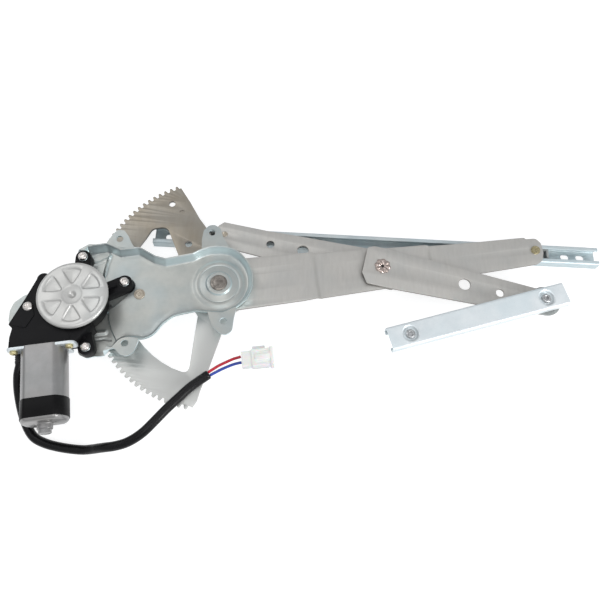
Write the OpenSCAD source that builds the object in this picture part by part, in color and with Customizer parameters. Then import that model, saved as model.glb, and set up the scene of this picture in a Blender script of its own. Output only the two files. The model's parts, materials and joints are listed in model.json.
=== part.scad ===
// Crossed-arm electric window regulator, lying on the back of its glass rail.
// Millimetres. Origin: the main pivot's axis in the plane of the glass rail's back.
// +X runs along the glass rail, +Y towards it, +Z towards the door panel.

/* [Linkage] */
// Main pivot to crossing rivet, and crossing rivet to each shoe
arm_len = 160; // [156:1:164]
// Lift arm's angle to the glass rail in the stored pose, in degrees
rest_angle = 10.6; // [10:0.1:11.4]
// Thickness of the arms' sheet
arm_sheet = 2.5; // [2.3:0.1:2.6]
// Gap between the arm layers at the crossing rivet
arm_gap = 0.8; // [0.8:0.05:1]
// Radius of the main pivot pin
pivot_r = 8; // [7:0.5:8.5]
// Radius of the three roller pins
roller_r = 3; // [2.6:0.1:3.2]
// Width of the crossing rivet's square key
key_w = 12; // [11:0.5:12.5]

/* [Gear] */
// Module of the sector and pinion teeth
tooth_module = 2;
// Teeth on the whole circle of the sector
sector_circle_teeth = 120;
// Teeth on the pinion
pinion_teeth = 9;
// Bearing of the pinion seen from the main pivot, in degrees
pinion_bearing = 192.6; // [192.2:0.1:193.2]
// Thickness of the sector's sheet
sector_sheet = 3; // [2.6:0.1:3]
// Teeth on the worm wheel
wheel_teeth = 60; // [54:2:64]

/* [Rails] */
// Length of the glass rail
glass_rail_len = 454; // [440:1:460]
// Width of the glass rail
glass_rail_w = 20; // [19:0.5:22]
// Depth of the glass rail
glass_rail_depth = 11; // [10.5:0.1:11.2]
// Length of the panel rail
panel_rail_len = 179; // [172:1:182]
// Width of the panel rail
panel_rail_w = 22.5; // [21:0.5:24]
// Panel rail's angle to the glass rail in the stored pose, in degrees
panel_rail_angle = 17.8; // [16:0.2:20]
// Distance between the panel rail's two threaded holes
panel_hole_gap = 138; // [134:1:140]
// Sheet of both rails
rail_sheet = 1.5; // [1.3:0.1:1.6]

/* [Plate] */
// Height of the mounting tabs' front faces above the resting plane
door_z = 36; // [36:0.2:37]
// Thickness of the plate
plate_sheet = 2; // [1.8:0.1:2]
// Radius of the four tab holes
tab_hole_r = 3.3; // [3:0.1:3.6]

/* [Motor] */
// Direction of the motor, turned from straight down, in degrees
motor_turn = 10.5; // [9:0.5:12]
// Radius of the can's round sides
can_r = 19.6; // [19.2:0.1:20]
// Thickness of the can between its flat sides
can_flat = 30; // [29.5:0.5:31]
// Length of the can
can_len = 66.5; // [63:0.5:68]
// Radius of the pressed cover
cover_r = 31.5; // [31:0.1:32]
// Radius of the circle of the motor's three screws
ear_circle_r = 45; // [44.5:0.1:45.5]
// Outer diameter of the sleeve over the leads
sleeve_d = 8.5; // [7.6:0.1:8.6]

/* [Hidden] */

$fn = 48;
free = 0.3;
fit = 0.05;
cut = 1;

// Heights of the layers above the resting plane
rear_z = glass_rail_depth + 3.5;
mid_z = rear_z + arm_sheet + arm_gap;
front_z = mid_z + arm_sheet + arm_gap;
sector_z = mid_z + 0.2;
hub_arm_z = sector_z + sector_sheet;
seat_z = 23;
step_h = 2;
field_z = seat_z + step_h;
field_top = field_z + plate_sheet;
seat_top = seat_z + plate_sheet;
panel_rail_z = 25.8;

// Ends of the linkage in the stored pose
cross_x = arm_len * cos(rest_angle);
cross_y = arm_len * sin(rest_angle);
rail_y = 2 * cross_y;
glass_rail_x = cross_x - 2;
rail_hole_in = 15;

// Gear pair: long-addendum pinion, short-addendum sector
pressure = 20;
sector_pitch_r = tooth_module * sector_circle_teeth / 2;
pinion_pitch_r = tooth_module * pinion_teeth / 2;
gear_distance = sector_pitch_r + pinion_pitch_r;
shift = 0.5 * tooth_module;
addendum = 0.8 * tooth_module;
tip_gap = 0.4;
side_play = 0.15;
sector_tip_r = sector_pitch_r - shift + addendum;
pinion_tip_r = pinion_pitch_r + shift + addendum;
sector_root_r = gear_distance - pinion_tip_r - tip_gap;
pinion_root_r = gear_distance - sector_tip_r - tip_gap;
sector_pitch_deg = 360 / sector_circle_teeth;
teeth_above = 26;
teeth_below = 23;
window_r = 90;
pinion_x = gear_distance * cos(pinion_bearing);
pinion_y = gear_distance * sin(pinion_bearing);

// Motor
worm_z = 37;
worm_tip_r = 4.2;
worm_core_r = 3.5;
wheel_tip_r = 24;
worm_offset = wheel_tip_r + worm_tip_r + free;
cup_r = 26.6;
ear_r = 7.6;
ear_sleeve_r = 4.4;
screw_head_r = 4.2;
recess_gap = 1.2;
housing_z = seat_top + free;
housing_floor = 3.7;
housing_top = 49;
cover_top = 54.5;
cover_base = cover_top - 3.2;
collar_top = cover_base - 0.6;
ear_bearings = [92.8, 28.3, -71.5];
ear_top = 37;
knob_at = [-26.8, 21.5];
housing_screw_at = [-39.8, -4.2];
screw_r = 3;
can_start = 41.8;
can_end = can_start + can_len;
can_wall = 1.8;
band_wall = 0.5;
band_start = can_end - 19.8;
neck_r = 9;
shaft_r = 2.5;
core_r = 12.5;
core_start = can_start + 17;
core_len = 34;
magnet_gap = 0.9;
axle_r = 3.5;
damper_pin_at = 12.5;
boot_x = -52.6;
boot_plug_r = 2.6;
boot_z = 29;
stop_at = [-73.3, -14.2];

// Smoothed outline of the raised field, from its upper left corner round the boss to its lower left
field_knots = concat(
    [[-121, 27], [-113, 29], [-96, 23], [-78, 25], [-68, 22], [-60, 17], [-52, 15], [-39, 18],
        [-25, 22], [-15, 27]],
    [for (a = [100:-20:-60]) 30 * [cos(a), sin(a)]],
    [[5, -28], [-19, -27], [-30, -30], [-40, -33], [-50, -42], [-57, -53], [-64, -56.5], [-71, -55.5],
        [-79, -55.5], [-86, -58.5], [-91, -65.5]]);

// Route of the sleeve over the leads: out of the boot, under the can's end, over the gear sector
sleeve_route = [[-168.53, -86.73, 29], [-168.17, -88.69, 29], [-169.3, -96, 26.2], [-169.9, -105, 20], [-168.6, -116, 13.5],
    [-165.3, -128, 8], [-160, -139, 5], [-153, -147, 4.3], [-143, -151.5, 4.3], [-132, -154, 4.3],
    [-120, -155.5, 4.3], [-109, -156, 4.8], [-100, -155.5, 8], [-93, -155, 12.5],
    [-86, -154.5, 16.5], [-78, -153.5, 19], [-69, -151, 21], [-61, -147, 23.3], [-53, -141, 25.6],
    [-45, -132, 26.5], [-36, -121, 26.5], [-26, -110, 26.5], [-16, -99.5, 26.5], [-1.7, -87.9, 26.5]];
red_route = [[-2.5, -86.6, 27.5], [6, -80.5, 28.2], [13, -76.8, 29.2], [19, -74, 30.3],
    [26, -71.6, 31]];
blue_route = [[-0.5, -89.1, 27.2], [8, -84, 27.8], [15, -80.6, 28.8], [21, -78.4, 30.2],
    [27, -76.9, 31]];
wire_d = 2.6;

// Connector: 29 long, 16 wide, 12 high, its wire side at plug_at
plug_at = [27, -75, 31];
plug_turn = 9;
plug_size = [29, 16, 12];

function unit(v) = v / norm(v);
function knot(p, i) = p[min(max(i, 0), len(p) - 1)];
function spline(a, b, c, d, t) =
    0.5 * (2 * b + (c - a) * t + (2 * a - 5 * b + 4 * c - d) * t * t
        + (3 * b - a - 3 * c + d) * t * t * t);
function smooth(p, steps) = concat(
    [for (i = [0:len(p) - 2]) for (k = [0:steps - 1])
        spline(knot(p, i - 1), knot(p, i), knot(p, i + 1), knot(p, i + 2), k / steps)],
    [p[len(p) - 1]]);
function along(p, i) = unit(knot(p, i + 1) - knot(p, i - 1));
function outward(p, i) = let (d = along(p, i)) [-d[1], d[0]];
function involute(a) = tan(a) - a * PI / 180;
// Half the angle of a tooth at radius r, for pitch radius rp and tooth thickness s on the pitch circle
function half_tooth(r, rp, s) = let (rb = rp * cos(pressure))
    (s / (2 * rp) + involute(pressure) - involute(acos(min(1, rb / max(r, rb))))) * 180 / PI;
function tooth(centre, radii, rp, s) = concat(
    [for (r = radii) let (a = centre - half_tooth(r, rp, s)) r * [cos(a), sin(a)]],
    [for (k = [len(radii) - 1:-1:0]) let (r = radii[k], a = centre + half_tooth(r, rp, s))
        r * [cos(a), sin(a)]]);
field_curve = smooth(field_knots, 3);
sector_tooth_w = PI * tooth_module / 2 - 2 * shift * tan(pressure) - side_play;
pinion_tooth_w = PI * tooth_module / 2 + 2 * shift * tan(pressure) - side_play;

module lift_frame() {
    rotate([0, 0, rest_angle]) children();
}

module equalizer_frame() {
    translate([cross_x, cross_y, 0]) rotate([0, 0, -rest_angle]) children();
}

module pinion_frame() {
    translate([pinion_x, pinion_y, 0]) rotate([0, 0, motor_turn]) children();
}

// Along the armature: Z runs from the worm's middle to the can's end, Y is up
module motor_axis() {
    pinion_frame() translate([-worm_offset, 0, worm_z]) rotate([90, 0, 0]) children();
}

module at_ears() {
    for (a = ear_bearings)
        translate([pinion_x + ear_circle_r * cos(a), pinion_y + ear_circle_r * sin(a), 0]) children();
}

module panel_rail_frame() {
    translate([2 * cross_x, 0, 0]) rotate([0, 0, panel_rail_angle]) children();
}

module plug_frame() {
    translate(plug_at) rotate([0, 0, plug_turn]) children();
}

module rod(r, z0, z1) {
    translate([0, 0, z0]) cylinder(r = r, h = z1 - z0);
}

module tube(ro, ri, z0, z1) {
    difference() {
        rod(ro, z0, z1);
        rod(ri, z0 - cut, z1 + cut);
    }
}

module slab(z0, z1) {
    translate([0, 0, z0]) linear_extrude(z1 - z0) children();
}

module rounded(r) {
    offset(r = r, $fn = 24) offset(delta = -r) children();
}

// Tube swept along a route of points, with flat ends
module swept(route, d, sides) {
    rings = len(route);
    points = [for (i = [0:rings - 1]) let (t = along(route, i), u = unit(cross(t, [0, 0, 1])),
        v = cross(u, t)) for (k = [0:sides - 1]) let (a = 360 * k / sides)
        route[i] + d / 2 * (cos(a) * u + sin(a) * v)];
    walls = [for (i = [0:rings - 2]) for (k = [0:sides - 1]) let (n = (k + 1) % sides)
        each [[i * sides + k, i * sides + n, (i + 1) * sides + n],
            [i * sides + k, (i + 1) * sides + n, (i + 1) * sides + k]]];
    first = [for (k = [sides - 1:-1:0]) k];
    last = [for (k = [0:sides - 1]) (rings - 1) * sides + k];
    polyhedron(points, concat([first], walls, [last]));
}

// Wall that leans outward along the left side of a path
module lean_wall(path, z0, z1, lean, sheet) {
    n = len(path);
    points = [for (i = [0:n - 1]) let (p = path[i], o = outward(path, i))
        each [[p[0], p[1], z0], [p[0] + o[0] * sheet, p[1] + o[1] * sheet, z0],
            [p[0] + o[0] * (sheet + lean), p[1] + o[1] * (sheet + lean), z1],
            [p[0] + o[0] * lean, p[1] + o[1] * lean, z1]]];
    walls = [for (i = [0:n - 2]) for (k = [0:3]) let (m = (k + 1) % 4)
        each [[i * 4 + k, (i + 1) * 4 + k, (i + 1) * 4 + m],
            [i * 4 + k, (i + 1) * 4 + m, i * 4 + m]]];
    polyhedron(points, concat([[0, 1, 2, 3]], walls, [[for (k = [3:-1:0]) (n - 1) * 4 + k]]));
}

// C-section along X, its web from z = 0 to the sheet's thickness, its lips at the depth
module c_section(length, w, depth, sheet, lip) {
    rotate([90, 0, 90]) translate([0, 0, -length / 2]) linear_extrude(length) difference() {
        translate([-w / 2, 0]) square([w, depth]);
        translate([-w / 2 + sheet, sheet]) square([w - 2 * sheet, depth - 2 * sheet]);
        translate([-w / 2 + sheet + lip, sheet]) square([w - 2 * sheet - 2 * lip, depth]);
    }
}

// Mounting plate: raised field with a leaning wall, motor seat, boss and four tabs

module tab_outlines() {
    rounded(3) polygon([[-108, 28], [-110, 34], [-106, 43], [-101, 48], [-94, 48], [-89, 43],
        [-86, 37], [-80, 29]]);
    rounded(3) polygon([[-20, 26], [-19, 33], [-19, 50], [-15, 57], [-10, 59], [-4, 58], [0, 53],
        [3, 43], [7, 36], [10, 30]]);
    rounded(3) polygon([[-94, -68], [-83, -56], [-66, -53], [-67, -64], [-69.5, -74], [-75, -78],
        [-83, -76]]);
    rounded(3) polygon([[-9, -27], [-7, -34], [-2, -45], [6, -51], [12, -54], [16, -49], [18, -34],
        [20, -24], [5, -28]]);
}

module boss_shell() {
    t = field_top;
    rotate_extrude() polygon([[25, t], [22.5, t], [21, t + 1.6], [15.5, t + 1.6], [13.5, t + 3.6],
        [pivot_r + fit, t + 3.6], [pivot_r + fit, t + 1.6], [12.6, t + 1.6],
        [14.6, t - 0.4], [20.1, t - 0.4], [21.6, field_z], [25, field_z]]);
}

module field_outline() {
    offset(delta = 1) polygon(field_curve);
    circle(r = 30);
}

// Where the plate steps down for the gear housing and its right ear
module motor_recess() {
    polygon([[-200, 40], [-106, 40], [-106, 26], [-108, 2], [-108, -30], [-99.5, -36], [-90, -62],
        [-88, -90], [-200, -90]]);
    translate([pinion_x, pinion_y]) circle(r = cup_r + recess_gap);
    translate([pinion_x, pinion_y]) rotate([0, 0, ear_bearings[1]]) {
        translate([0, -ear_r - recess_gap]) square([ear_circle_r, 2 * (ear_r + recess_gap)]);
        translate([ear_circle_r, 0]) circle(r = ear_r + recess_gap);
    }
}

module seat_outline() {
    rounded(4) union() {
        polygon([[-125, 31], [-104, 31], [-60, 20], [-60, -40], [-80, -67], [-100, -74], [-122, -68],
            [-150, -62], [-165, -64], [-150, -17], [-132, 4]]);
        translate([-165, -40]) circle(r = 25);
        at_ears() circle(r = 11);
    }
}

module plate_field() {
    slab(field_z, field_top) difference() {
        field_outline();
        motor_recess();
        circle(r = 24.5);
    }
}

module plate_seat() {
    slab(seat_z, seat_top) difference() {
        intersection() {
            seat_outline();
            offset(delta = plate_sheet) motor_recess();
        }
        translate([pinion_x, pinion_y]) circle(r = 15.5);
    }
}

module plate_step() {
    slab(seat_z, field_top) intersection() {
        field_outline();
        difference() {
            offset(delta = plate_sheet) motor_recess();
            motor_recess();
        }
    }
}

module mounting_plate() {
    tab_holes = [[-97, 38], [-10, 50], [-78, -65.5], [8, -40]];
    color([0.72, 0.76, 0.78]) difference() {
        union() {
            plate_field();
            plate_seat();
            plate_step();
            boss_shell();
            lean_wall(field_curve, field_z - 0.5, door_z, 3.5, plate_sheet);
            slab(door_z - plate_sheet, door_z) difference() {
                tab_outlines();
                offset(delta = 2.8) polygon(field_curve);
            }
        }
        for (p = tab_holes) translate(p) rod(tab_hole_r, door_z - 4, door_z + cut);
        at_ears() rod(screw_r + 0.3, seat_z - cut, field_top + cut);
        translate(stop_at) rod(3 + fit, seat_z - cut, field_top + cut);
    }
}

// Main pivot: rear head inside the sector, shank through arm and boss, domed front end
module pivot_pin() {
    top = field_top + 3.6;
    color([0.45, 0.44, 0.42]) union() {
        rod(14, sector_z + 0.2, hub_arm_z - free);
        rod(pivot_r, sector_z + 1, top + 0.2);
        translate([0, 0, top + 0.2]) rotate_extrude() polygon(
            [[0, 0], [pivot_r, 0], [pivot_r - 1.2, 1], [pivot_r - 3.5, 1.5], [0, 1.6]]);
    }
}

module pivot_spacer() {
    color([0.9, 0.88, 0.8]) tube(12, pivot_r + fit, hub_arm_z + arm_sheet + free, field_top + 1.6 - free);
}

module stop_rivet() {
    color([0.66, 0.6, 0.52]) translate(stop_at) union() {
        rod(5.2, field_top + 0.02, field_top + 1);
        rod(3, sector_z + 1, field_top + 0.5);
        rod(5.5, sector_z + 0.4, seat_z - free);
    }
}

// Motor gearbox

module housing_outline() {
    circle(r = cup_r);
    rounded(1.5) polygon([[-31.5, 24.5], [-42.5, 5], [-57, -18.5], [-53.8, -22.5], [-56, -31],
        [-56.8, -can_start], [-1, -can_start], [14, -29], [0, 26]]);
    translate(knob_at) circle(r = 6);
}

module gear_housing() {
    color([0.07, 0.07, 0.08]) difference() {
        union() {
            pinion_frame() slab(housing_z + 1.5, housing_top - 1.5) housing_outline();
            pinion_frame() slab(housing_z, housing_top - 4) offset(delta = -1) housing_outline();
            pinion_frame() rod(cover_r - free, housing_top - 4, collar_top);
            for (a = ear_bearings) translate([pinion_x, pinion_y, 0]) rotate([0, 0, a]) union() {
                slab(housing_z, ear_top - 2) {
                    translate([wheel_tip_r + 1, -ear_r]) square([ear_circle_r - wheel_tip_r - 1, 2 * ear_r]);
                    translate([ear_circle_r, 0]) circle(r = ear_r);
                }
                translate([ear_circle_r, 0, 0]) rod(ear_r - 0.6, housing_z, ear_top);
            }
        }
        pinion_frame() rod(wheel_tip_r + 1, housing_z + housing_floor, collar_top + cut);
        pinion_frame() rod(13, housing_z - cut, housing_top);
        motor_axis() rod(8, -30, can_start + cut);
        motor_axis() rod(neck_r, can_start - 7, can_start + cut);
        at_ears() rod(ear_sleeve_r + fit, housing_z - cut, ear_top + cut);
        motor_axis() for (s = [-1, 1]) translate([s * 23.5, 9, can_start - 8]) rod(1.6, 0, 8 + cut);
        pinion_frame() translate(housing_screw_at) rod(2 + fit, housing_top - 12, housing_top + cut);
        pinion_frame() translate([boot_x, -can_start, boot_z]) rotate([90, 0, 0])
            rod(boot_plug_r + fit, -9, cut);
    }
}

module cover_recess() {
    rounded(2) polygon([[11.5, -1.5], [11.5, 1.5], [25.5, 9.5], [27.5, 6], [28.3, 0], [27.5, -6],
        [25.5, -9.5]]);
}

module housing_cover() {
    dish_r = wheel_tip_r + 0.6;
    color([0.78, 0.78, 0.77]) pinion_frame() difference() {
        rotate_extrude($fn = 96) polygon([[0, cover_top - 3], [3, cover_top - 3], [4.2, cover_top - 1.2],
            [9, cover_top - 1.2], [10.5, cover_top - 0.2], [cover_r - 2.2, cover_top - 0.2],
            [cover_r - 0.6, cover_top - 1], [cover_r, cover_top - 2.4], [cover_r, cover_base],
            [dish_r, cover_base], [dish_r, cover_top - 4], [0, cover_top - 4.4]]);
        for (k = [0:5]) rotate([0, 0, 90 - motor_turn + 60 * k])
            slab(cover_top - 1.4, cover_top + cut) cover_recess();
    }
}

module cover_seal() {
    color([0.1, 0.1, 0.1]) pinion_frame() tube(cover_r - 0.5, cover_r - 2.5, collar_top + 0.02, cover_base - 0.02);
}

module motor_screws() {
    color([0.8, 0.78, 0.76]) at_ears() difference() {
        union() {
            rod(screw_r, seat_z - 1, ear_top + 1);
            rotate_extrude() translate([0, ear_top + 0.55]) polygon([[0, 0], [screw_head_r, 0],
                [screw_head_r, 1.3], [screw_head_r - 0.9, 2.4], [0, 2.8]]);
        }
        rod(1.9, ear_top + 2, ear_top + 5);
    }
}

module ear_sleeves() {
    color([0.6, 0.6, 0.58]) at_ears() tube(ear_sleeve_r, screw_r + 0.15, housing_z - free, ear_top + 0.5);
}

module plate_nuts() {
    color([0.7, 0.7, 0.68]) at_ears() difference() {
        translate([0, 0, seat_z - 1.4]) cylinder(r = 6, h = 1.35, $fn = 6);
        rod(screw_r + fit, seat_z - 3, seat_z + cut);
    }
}

module housing_screw() {
    color([0.8, 0.76, 0.74]) pinion_frame() translate(housing_screw_at) difference() {
        union() {
            rod(2, housing_top - 11, housing_top);
            rod(4.4, housing_top - 1.5 + 0.02, housing_top + 1.2);
        }
        translate([-2.6, -0.5, housing_top + 0.4]) cube([5.2, 1, 2]);
        translate([-0.5, -2.6, housing_top + 0.4]) cube([1, 5.2, 2]);
    }
}

module wheel_axle() {
    color([0.75, 0.75, 0.73]) pinion_frame() rod(axle_r, sector_z - 0.5, cover_top - 4.8);
}

module pinion_bush() {
    color([0.62, 0.5, 0.3]) pinion_frame() tube(13 - fit, 11.2, housing_z, housing_z + housing_floor);
}

// Motor can and what it holds

module double_d(r, flat) {
    intersection() {
        circle(r = r, $fn = 64);
        square([3 * r, flat], center = true);
    }
}

module can_flange() {
    slab(can_start + 0.02, can_start + 2.5) difference() {
        rounded(2) union() {
            translate([-19.5, -14]) square([41, 28]);
            translate([-28.5, 4]) square([57.5, 10.5]);
        }
        double_d(can_r - can_wall, can_flat - 2 * can_wall);
        for (s = [-1, 1]) translate([s * 23.5, 9]) circle(r = 1.9);
    }
}

module motor_can() {
    color([0.68, 0.68, 0.67]) motor_axis() difference() {
        union() {
            can_flange();
            slab(can_start + 1, can_end - 3) double_d(can_r, can_flat);
            hull() {
                slab(can_end - 3.2, can_end - 3) double_d(can_r, can_flat);
                slab(can_end - 1, can_end - 0.8) double_d(can_r - 1.2, can_flat - 2.4);
                slab(can_end - 0.2, can_end) double_d(can_r - 3, can_flat - 6);
            }
            rod(6.5, can_end - 1, can_end + 5);
            rod(5.4, can_end - 1, can_end + 8.7);
        }
        slab(can_start - cut, can_end - can_wall) double_d(can_r - can_wall, can_flat - 2 * can_wall);
        rod(4.5, can_end - 3, can_end + 5);
    }
}

module can_band() {
    color([0.04, 0.04, 0.05]) motor_axis() slab(band_start, can_end - 3.3) difference() {
        double_d(can_r + band_wall, can_flat + 2 * band_wall);
        double_d(can_r + fit, can_flat + 2 * fit);
    }
}

module flange_screws() {
    color([0.78, 0.7, 0.35]) motor_axis() for (s = [-1, 1]) translate([s * 23.5, 9, 0]) difference() {
        union() {
            rod(1.55, can_start - 6, can_start + 3);
            rod(3.6, can_start + 2.52, can_start + 5.2);
        }
        translate([-0.5, -2.4, can_start + 4.2]) cube([1, 4.8, 2]);
        translate([-2.4, -0.5, can_start + 4.2]) cube([4.8, 1, 2]);
    }
}

module magnets() {
    color([0.2, 0.2, 0.22]) motor_axis() for (s = [0, 180]) rotate([0, 0, s - 38])
        rotate_extrude(angle = 76) translate([core_r + magnet_gap, core_start - 3])
            square([can_r - can_wall - core_r - magnet_gap - 0.1, core_len + 6]);
}

module end_bearing() {
    color([0.65, 0.5, 0.3]) motor_axis() tube(4.5 - fit, shaft_r + fit, can_end - 1.5, can_end + 4.8);
}

module front_bearing() {
    color([0.65, 0.5, 0.3]) motor_axis() tube(8 - fit, shaft_r + fit, 26, 32);
}

module brush_holder() {
    color([0.35, 0.2, 0.12]) motor_axis() difference() {
        slab(can_start + 0.2, can_start + 9) double_d(can_r - can_wall - fit, can_flat - 2 * can_wall - 0.1);
        rod(8, can_start - cut, can_start + 10);
        for (s = [-1, 1]) translate([s * 11, 0, can_start + 4.6]) cube([12, 4.2, 4.2], center = true);
    }
}

module brushes() {
    color([0.15, 0.15, 0.16]) motor_axis() for (s = [-1, 1]) translate([s * 10.9, 0, can_start + 4.6])
        difference() {
            cube([9.4, 4, 4], center = true);
            translate([-s * 10.9, 0, -4]) cylinder(r = 6.3, h = 8);
        }
}

// The worm's thread is a round bar turned off its own axis, with the wheel's tooth pitch as its lead
module armature_shaft() {
    turns = 8;
    lead = 2 * PI * wheel_tip_r / wheel_teeth;
    color([0.75, 0.75, 0.74]) motor_axis() union() {
        rod(shaft_r, -22, can_end + 4.4);
        translate([0, 0, -turns * lead / 2])
            linear_extrude(turns * lead, twist = -360 * turns, slices = 8 * turns, $fn = 8)
                translate([worm_tip_r - worm_core_r, 0]) circle(r = worm_core_r, $fn = 8);
    }
}

module armature_core() {
    slots = 10;
    color([0.45, 0.45, 0.46]) motor_axis() difference() {
        rod(core_r, core_start, core_start + core_len);
        rod(shaft_r + fit, can_start, can_end);
        for (k = [0:slots - 1]) rotate([0, 0, 360 * (k + 0.5) / slots])
            translate([core_r - 2.8, -1.1, can_start]) cube([6, 2.2, can_len]);
    }
}

module windings() {
    color([0.65, 0.32, 0.14]) motor_axis() for (z = [core_start - 4.5, core_start + core_len + 0.1])
        rotate_extrude() translate([0, z]) polygon([[shaft_r + 0.6, 0], [core_r - 3.5, 0],
            [core_r - 1.2, 1.6], [core_r - 1.2, 2.8], [core_r - 3.5, 4.4], [shaft_r + 0.6, 4.4]]);
}

module commutator() {
    bars = 10;
    color([0.72, 0.45, 0.22]) motor_axis() difference() {
        rod(6.2, can_start + 1.5, can_start + 11.5);
        rod(shaft_r + fit, can_start, can_start + 20);
        for (k = [0:bars - 1]) rotate([0, 0, 360 * k / bars])
            translate([5.4, -0.25, can_start]) cube([2, 0.5, 20]);
    }
}

// Gear wheel, damper and pinion on the axle

module worm_wheel() {
    pitch = 360 / wheel_teeth;
    root = wheel_tip_r - 1.4;
    points = [for (k = [0:wheel_teeth - 1]) each [for (c = [[root, 0.1], [wheel_tip_r, 0.3],
        [wheel_tip_r, 0.55], [root, 0.75]]) c[0] * [cos(pitch * (k + c[1])), sin(pitch * (k + c[1]))]]];
    color([0.88, 0.86, 0.78]) pinion_frame() difference() {
        slab(worm_z - 5, worm_z + 5) polygon(points);
        rod(18.5, worm_z - 3, worm_z + 6);
        rod(axle_r + fit, worm_z - 6, worm_z + 6);
        for (k = [0:2]) rotate([0, 0, 120 * k]) translate([damper_pin_at, 0, 0]) rod(3.6, worm_z - 6, worm_z);
    }
}

module wheel_damper() {
    color([0.12, 0.12, 0.12]) pinion_frame() difference() {
        rod(18.2, worm_z - 2.9, worm_z + 2);
        rod(6, worm_z - 4, worm_z + 3);
        for (k = [0:2]) rotate([0, 0, 120 * k]) translate([damper_pin_at, 0, 0])
            rod(3.3, worm_z - 4, worm_z + 3);
    }
}

module pinion_outline() {
    radii = [pinion_root_r, pinion_pitch_r * cos(pressure) + 0.1, 9, 9.8, 10.7, pinion_tip_r];
    polygon([for (k = [0:pinion_teeth - 1])
        each tooth(360 * k / pinion_teeth, radii, pinion_pitch_r, pinion_tooth_w)]);
}

module drive_pinion() {
    color([0.7, 0.7, 0.69]) difference() {
        union() {
            translate([pinion_x, pinion_y, 0]) rotate([0, 0, pinion_bearing - 180])
                slab(sector_z - 0.3, hub_arm_z + 0.6) pinion_outline();
            pinion_frame() rod(11, hub_arm_z + 0.2, worm_z - 6);
            pinion_frame() rod(16, worm_z - 7, worm_z - 5.2);
            pinion_frame() rod(16.5, worm_z + 2.2, worm_z + 4.5);
            pinion_frame() for (k = [0:2]) rotate([0, 0, 120 * k]) translate([damper_pin_at, 0, 0])
                rod(3, worm_z - 6, worm_z + 3.5);
        }
        pinion_frame() rod(axle_r + fit, sector_z - 2, worm_z + 6);
    }
}

// Leads

module lead_boot() {
    color([0.06, 0.06, 0.07]) pinion_frame() translate([boot_x, -can_start - 0.02, boot_z]) rotate([90, 0, 0])
        union() {
            cylinder(r1 = 4.5, r2 = sleeve_d / 2 + 0.1, h = 8);
            rod(boot_plug_r, -7, 0.5);
        }
}

module lead_sleeve() {
    color([0.05, 0.05, 0.06]) swept(sleeve_route, sleeve_d, 12);
}

module red_wire() {
    color([0.75, 0.05, 0.1]) swept(red_route, wire_d, 8);
}

module blue_wire() {
    color([0.12, 0.2, 0.6]) swept(blue_route, wire_d, 8);
}

module connector() {
    l = plug_size[0];
    w = plug_size[1];
    h = plug_size[2];
    color([0.9, 0.9, 0.86]) plug_frame() difference() {
        union() {
            translate([0, -w / 2, -h / 2]) cube([l, w, h]);
            translate([10, w / 2 - cut, -3]) cube([12, 3.5, 6]);
            translate([l - 3, -w / 2 - 0.8, -h / 2 - 0.8]) cube([3, w + 1.6, h + 1.6]);
        }
        translate([12, -w / 2 + 1.6, -h / 2 + 1.6]) cube([l, w - 3.2, h - 3.2]);
        for (s = [-1, 1]) translate([cut, s * 3.4 + 0.5, -2.4]) cube([l, 2.6, 1.2]);
    }
}

module contacts() {
    color([0.8, 0.72, 0.45]) plug_frame() for (s = [-1, 1])
        translate([4, s * 3.4 + 0.55, -2.35]) cube([19, 2.5, 1.1]);
}

// Lift arm and gear sector

module lift_outline() {
    polygon([[0, 26.9], [80, 24.5], [180, 19.8], [260, 16.8], [2 * arm_len - 8, 15.6],
        [2 * arm_len - 6, 13.6], [2 * arm_len + 4, 13.2], [2 * arm_len + 8, 7], [2 * arm_len + 7.5, -4],
        [2 * arm_len + 4, -12], [2 * arm_len - 2, -15], [2 * arm_len - 8, -15.4], [254, -17.6],
        [160, -22.2], [99, -24], [78, -25.6], [0, -26.9]]);
}

module lift_profile() {
    t = arm_sheet;
    far = 2 * arm_len + 20;
    polygon([[-40, hub_arm_z], [91, hub_arm_z], [96, mid_z], [207, mid_z], [212, rear_z],
        [far, rear_z], [far, rear_z + t], [213, rear_z + t], [208, mid_z + t], [97, mid_z + t],
        [92, hub_arm_z + t], [-40, hub_arm_z + t]]);
}

module lift_arm() {
    color([0.66, 0.65, 0.62]) lift_frame() difference() {
        union() {
            rod(27, hub_arm_z, hub_arm_z + arm_sheet);
            intersection() {
                slab(0, 40) lift_outline();
                rotate([90, 0, 0]) translate([0, 0, -40]) linear_extrude(80) lift_profile();
            }
        }
        rod(pivot_r + fit, hub_arm_z - cut, hub_arm_z + 4);
        translate([arm_len, 0, 0]) rod(10 + fit, mid_z - cut, mid_z + 4);
        translate([2 * arm_len, 0, 0]) rod(roller_r + fit, rear_z - cut, rear_z + 4);
        for (a = [30, 150, 270]) rotate([0, 0, a]) translate([21, 0, 0]) rod(3 + fit, hub_arm_z - cut, hub_arm_z + 4);
    }
}

module sector_blank() {
    radii = [sector_root_r, sector_pitch_r - shift, sector_tip_r];
    first = pinion_bearing - (teeth_above - 0.5) * sector_pitch_deg;
    count = teeth_above + teeth_below;
    teeth = [for (k = [0:count - 1])
        each tooth(first + k * sector_pitch_deg, radii, sector_pitch_r, sector_tooth_w)];
    polygon(concat([[-19, 64], [-26, 73], [-37, 91], [-48, 107]], teeth,
        [[-14.5, -117], [-11, -111], [-9, -102], [-3, -81], [6, -46], [12, -26], [26, 0], [12, 26], [0, 34]]));
    circle(r = 30);
}

module sector_window() {
    rounded(7) difference() {
        intersection() {
            circle(r = window_r, $fn = 120);
            polygon([[-57, 62], [-38, 22], [-30, 0], [-17, -25], [-19, -50], [-21, -92],
                [-100, -92], [-100, 30], [-74, 64]]);
        }
        circle(r = 34);
    }
}

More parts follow.
